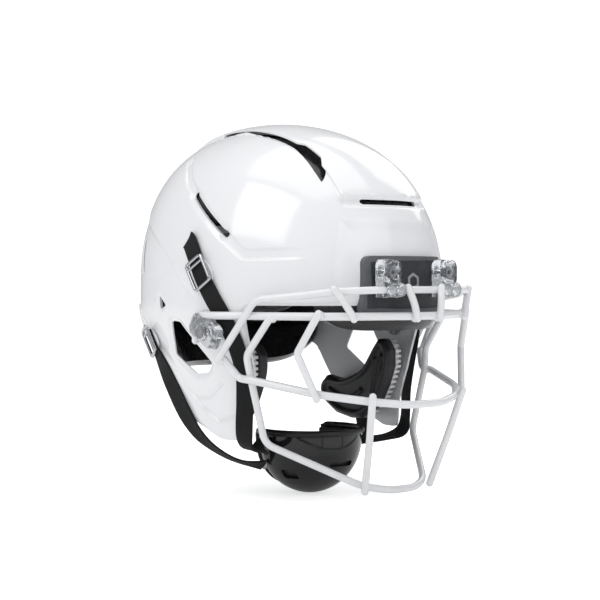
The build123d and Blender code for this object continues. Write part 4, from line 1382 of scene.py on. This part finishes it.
@dataclass
class Straps:
    """Webbing from the shell to the chin cup, with its buckles and their bases."""

    paints: Paints
    width: float = 16.0
    thick: float = 1.7
    lift: float = 2.65
    front: list[tuple] = field(default_factory=lambda: [
        ("on", 0, 52, 0.0), ("on", -4, 48, 0.0), ("on", -19, 24, 0.0), ("on", -32, 4, -0.3),
        ("on", -43, -14, -0.7),
        ("on", -50, -36, 0.4), ("on", -52, -60, 1.2), ("on", -50, -84, 2.0), ("on", -49, -108, 3.0),
        ("free", (-94, -47, -121.5), (-0.8, 0, -0.6)), ("free", (-80, -40, -127), (-0.35, 0, -0.94)),
        ("free", (-62, -28, -129), (-0.5, 0, -0.85)), ("free", (-49.6, -18, -127), (-1, 0, -0.2))])
    rear: list[tuple] = field(default_factory=lambda: [
        ("on", 74, -28, 0.6), ("on", 66, -44, 1.6), ("free", (-103, 46, -72), (-1, -0.2, -0.2)),
        ("free", (-104, 24, -98), (-1, -0.1, -0.1)), ("free", (-99, 8, -118), (-0.85, 0, -0.5)),
        ("free", (-84, 0, -132), (-0.5, 0, -0.87)), ("free", (-66, -6, -141), (-0.5, 0, -0.87)),
        ("free", (-46.4, -15, -145), (-0.9, 0, -0.45))])

    def station(self, entry: tuple) -> tuple[np.ndarray, np.ndarray]:
        """A place of a strap's middle line and the way its face is turned there."""
        if entry[0] == "free":
            turned = np.array(entry[2], float)
            return np.array(entry[1], float), turned / np.linalg.norm(turned)
        _, y, z, extra = entry
        spot = np.array([-FORM.side_x(y, z, self.lift + extra), y, z])
        return spot, FORM.side_way(y, max(z, STRAP_FLOOR))

    def web(self, name: str, entries: list[tuple]) -> bpy.types.Object:
        """The right strap of a pair: a smooth flat band with its own UV map."""
        stations = [self.station(e) for e in entries]
        steps = 9
        spots, faces = [], []
        for i in range(len(stations) - 1):
            p = [stations[max(0, min(len(stations) - 1, j))] for j in (i - 1, i, i + 1, i + 2)]
            for k in range(steps):
                t = k / steps
                b = [(-t + 2 * t * t - t ** 3) / 2, (2 - 5 * t * t + 3 * t ** 3) / 2,
                     (t + 4 * t * t - 3 * t ** 3) / 2, (t ** 3 - t * t) / 2]
                spots.append(sum(w * q[0] for w, q in zip(b, p)))
                faces.append(sum(w * q[1] for w, q in zip(b, p)))
        spots.append(stations[-1][0])
        faces.append(stations[-1][1])
        spots, faces = np.array(spots), np.array(faces)
        side = unit(np.cross(unit(np.gradient(spots, axis=0)), faces))
        gone = np.concatenate([[0], np.cumsum(np.linalg.norm(np.diff(spots, axis=0), axis=1))]) / self.width
        piece = Bench.grid(name, 6, len(spots) - 1)

        def form(co: np.ndarray) -> np.ndarray:
            """Sends the grid's points to the band."""
            row = np.rint((co[:, 1] + 1) / 2 * (len(spots) - 1)).astype(int)
            return (spots[row] + side[row] * (co[:, 0] * self.width / 2)[:, None]) * MM

        rest = Bench.points(piece)
        layer = piece.data.uv_layers[0].data if piece.data.uv_layers else piece.data.uv_layers.new().data
        for loop in piece.data.loops:
            u, v, _ = rest[loop.vertex_index]
            layer[loop.index].uv = ((u + 1) / 2, gone[int(round((v + 1) / 2 * (len(spots) - 1)))])
        Bench.shape(piece, form)
        Bench.modify(piece, "SOLIDIFY", thickness=self.thick * MM, offset=0)
        Bench.bevel(piece, 0.45, 2, 50)
        return piece

    def plane(self, upper: np.ndarray, lower: np.ndarray, spot: np.ndarray) -> Matrix:
        """A frame on the strap: x across, y along it upwards, z outwards."""
        run = Vector(upper - lower).normalized()
        out = Vector(FORM.side_way(spot[1], max(spot[2], STRAP_FLOOR)))
        wide = run.cross(out).normalized()
        up = wide.cross(run)
        made = Matrix.Identity(4)
        for i, way in enumerate((wide, run, up)):
            made.col[i][:3] = way
        made.col[3][:3] = Vector(spot) * MM
        return made

    def buckle(self, name: str, place: Matrix) -> bpy.types.Object:
        """A bent steel frame with a cross bar that the strap's end folds over."""
        high, w, h = self.thick / 2 + 0.9 + 1.3, 10.75 - 1.1, 13.5 - 1.1
        corner = 2.6
        loop = []
        for cx, cy, a0 in ((w - corner, h - corner, 0), (-w + corner, h - corner, 90),
                           (-w + corner, -h + corner, 180), (w - corner, -h + corner, 270)):
            for i in range(4):
                a = math.radians(a0 + i * 30)
                loop.append((cx + corner * math.cos(a), cy + corner * math.sin(a), high))
            if a0 in (0, 180):
                loop.append((cx / 2, (cy + corner * (1 if a0 == 0 else -1)), high))
        ring = Bench.tube(name, [tuple(Vector(p) * MM) for p in loop], 1.5 * MM, 16, closed=True)
        level = high + 0.1
        bar = [(w * at, h * 0.6, level + lift)
               for at, lift in ((-1, 0), (-0.5, 0), (0, 0.2), (0.5, 0), (1, 0))]
        Bench.cut(ring, Bench.tube("bar", [tuple(Vector(p) * MM) for p in bar], 1.25 * MM, 12), "UNION")
        ring.data.transform(place)
        return ring

    def base(self, name: str, place: Matrix, longer: float) -> bpy.types.Object:
        """The rounded plastic base under a buckle, with its raised middle."""
        outline = []
        for i in range(28):
            a = 2 * math.pi * i / 28
            rise = math.sin(a)
            outline.append(((11.6 - 1.8 * rise) * math.cos(a), (longer + 2.5 * rise) * rise - 2))
        piece = Bench.prism(name, outline, down, -self.thick / 2 - 1.7, -self.thick / 2 - 0.15, -0.8)
        Bench.bevel(piece, 0.5, 2, 35)
        piece.data.transform(place)
        return piece

    def build(self) -> None:
        """Makes the four straps, buckles and bases."""
        for key, entries, start, end in (
            ("front", self.front, (-0.0965, -0.048, -0.114), (-0.058, -0.0245, -0.129)),
            ("rear", self.rear, (-0.100, 0.012, -0.114), (-0.056, -0.010, -0.143)),
        ):
            stations = [self.station(e) for e in entries]
            if key == "front":
                place = self.plane(stations[1][0], stations[3][0], stations[2][0])
            else:
                place = self.plane(stations[0][0], stations[1][0], (stations[0][0] + stations[1][0]) / 2)
            for hand in Hand:
                web = self.web(f"{key}_strap_web_{hand.word}", entries)
                ring = self.buckle(f"{key}_buckle_frame_{hand.word}", place)
                base = self.base(f"{key}_buckle_base_{hand.word}", place, 14.5 if key == "front" else 11.0)
                a, b = Vector(start), Vector(end)
                if hand is Hand.LEFT:
                    web, ring, base = (Bench.turn_over(piece) for piece in (web, ring, base))
                    a.x, b.x = -a.x, -b.x
                Bench.dress(Bench.settle(web), self.paints.webbing)
                bpy.ops.object.shade_smooth_by_angle(angle=math.radians(40))
                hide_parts(f"{key}_strap_{hand.word}")
                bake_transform(web)
                Bench.finish(ring, f"{key}_buckle_{hand.word}", "buckle_chrome", self.paints.chrome, 50,
                             [f"{key}_buckle_{hand.word}"])
                Bench.finish(base, "shell", "snap_plastic", self.paints.base, 40)


class Hardware:
    """Dresses the small CAD pieces that stay as they are."""

    def __init__(self, paints: Paints) -> None:
        """Keeps the finishes."""
        self.paints = paints

    def build(self) -> None:
        """Gives each remaining node its finish."""
        for name, paint in (("front_screws", self.paints.steel), ("side_screws", self.paints.steel),
                            ("front_nuts", self.paints.steel), ("side_nuts", self.paints.steel),
                            ("jaw_snaps", self.paints.snap), ("snap_studs", self.paints.steel)):
            Bench.dress(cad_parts[name], paint)


def padding(paints: Paints) -> None:
    """Makes the whole liner."""
    CrownPad(paints.liner).build()
    WallPad("rear_pad", (27.5, 152.5), (-64, 57.5), (4, 3)).build(paints.liner)
    WallPad("brow_pad", (229, 311), (-24, 57.5), (3, 2)).build(paints.liner)
    WallPad("side_pad_left", (-46, 24.5), (-9.5, 57.5), (3, 1)).build(paints.liner)
    WallPad("side_pad_right", (155.5, 226), (-9.5, 57.5), (3, 1)).build(paints.liner)


# ---- room, light and camera -----------------------------------------------------------------------


@dataclass
class Studio:
    """Pale floor, soft lights and the camera."""

    target: Point3 = (0.0, -0.011, 0.0)
    azimuth: float = -42.0
    elevation: float = 0.79
    distance: float = 1.334
    lens: float = 88.7

    def build(self) -> None:
        """Makes the floor, lights, world and camera."""
        low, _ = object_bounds()
        Bench.clear()
        bpy.ops.mesh.primitive_plane_add(size=12, location=(0, 0, low.z - 0.0005))
        floor = Bench.named("studio_floor")
        paper = Finish("floor_paper", (0.93, 0.93, 0.93), roughness=0.7, mottle=0.004, mottle_size=400).make()
        nodes, links = paper.node_tree.nodes, paper.node_tree.links
        shader, ray = nodes["Principled BSDF"], nodes.new("ShaderNodeLightPath")
        glow = nodes.new("ShaderNodeMapRange")
        shader.inputs["Emission Color"].default_value = (1, 1, 1, 1)
        glow.inputs["To Min"].default_value, glow.inputs["To Max"].default_value = 0.12, 0.66
        links.new(ray.outputs["Is Camera Ray"], glow.inputs["Value"])
        links.new(glow.outputs["Result"], shader.inputs["Emission Strength"])
        floor.data.materials.append(paper)
        floor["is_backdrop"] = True
        a, e = math.radians(self.azimuth), math.radians(self.elevation)
        back = Vector((math.sin(a) * math.cos(e), -math.cos(a) * math.cos(e), math.sin(e)))
        camera = bpy.data.objects.new("camera", bpy.data.cameras.new("camera"))
        bpy.context.scene.collection.objects.link(camera)
        camera.data.lens, camera.data.sensor_width = self.lens, 36.0
        camera.data.clip_start, camera.data.clip_end = 0.05, 60.0
        camera.location = Vector(self.target) + back * self.distance
        camera.rotation_mode = "QUATERNION"
        camera.rotation_quaternion = (-back).to_track_quat("-Z", "Y")
        bpy.context.scene.camera = camera
        right = Vector((math.cos(a), math.sin(a), 0))
        for name, place, size, power in (
            ("key", back * 1.1 - right * 1.3 + Vector((0, 0, 1.5)), 1.5, 17.5),
            ("fill", back * 1.4 + right * 1.5 + Vector((0, 0, 0.9)), 1.6, 8.0),
            ("top", Vector((0, 0, 2.2)), 2.0, 17.5),
            ("rim", -back * 1.3 + right * 0.9 + Vector((0, 0, 1.3)), 1.3, 7.0),
        ):
            light = bpy.data.objects.new(name, bpy.data.lights.new(name, "AREA"))
            light.data.size, light.data.energy = size, power
            light.location = place
            light.rotation_mode = "QUATERNION"
            light.rotation_quaternion = (-Vector(place)).to_track_quat("-Z", "Y")
            bpy.context.scene.collection.objects.link(light)
        world = bpy.data.worlds.new("studio_air")
        world.use_nodes = True
        nodes, links = world.node_tree.nodes, world.node_tree.links
        air = nodes["Background"]
        air.inputs["Color"].default_value = (0.95, 0.97, 1.0, 1)
        air.inputs["Strength"].default_value = 0.45
        seen = nodes.new("ShaderNodeBackground")
        seen.inputs["Color"].default_value = (1, 1, 1, 1)
        seen.inputs["Strength"].default_value = 1.15
        ray, mix = nodes.new("ShaderNodeLightPath"), nodes.new("ShaderNodeMixShader")
        links.new(ray.outputs["Is Camera Ray"], mix.inputs["Fac"])
        links.new(air.outputs["Background"], mix.inputs[1])
        links.new(seen.outputs["Background"], mix.inputs[2])
        links.new(mix.outputs["Shader"], nodes["World Output"].inputs["Surface"])
        bpy.context.scene.world = world
        bpy.context.scene.view_settings.view_transform = "Standard"


def measure(name: str, sizes: dict[str, list]) -> None:
    """Notes the object's box under a name."""
    low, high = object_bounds()
    sizes[name] = [list(low), list(high)]


def main() -> None:
    """Builds every sub-assembly in order, then the studio."""
    logging.basicConfig(level=logging.INFO, format="%(message)s")
    sizes: dict[str, list] = {}
    measure("cad", sizes)
    paints = Paints()
    Shell(paints).build()
    padding(paints)
    Bumper(paints).build()
    Clips(paints).build()
    Guard(paints).build()
    JawPads(paints).build()
    ChinCup(paints).build()
    Straps(paints).build()
    Hardware(paints).build()
    Studio().build()
    measure("visual", sizes)


if __name__ == "__main__":
    main()
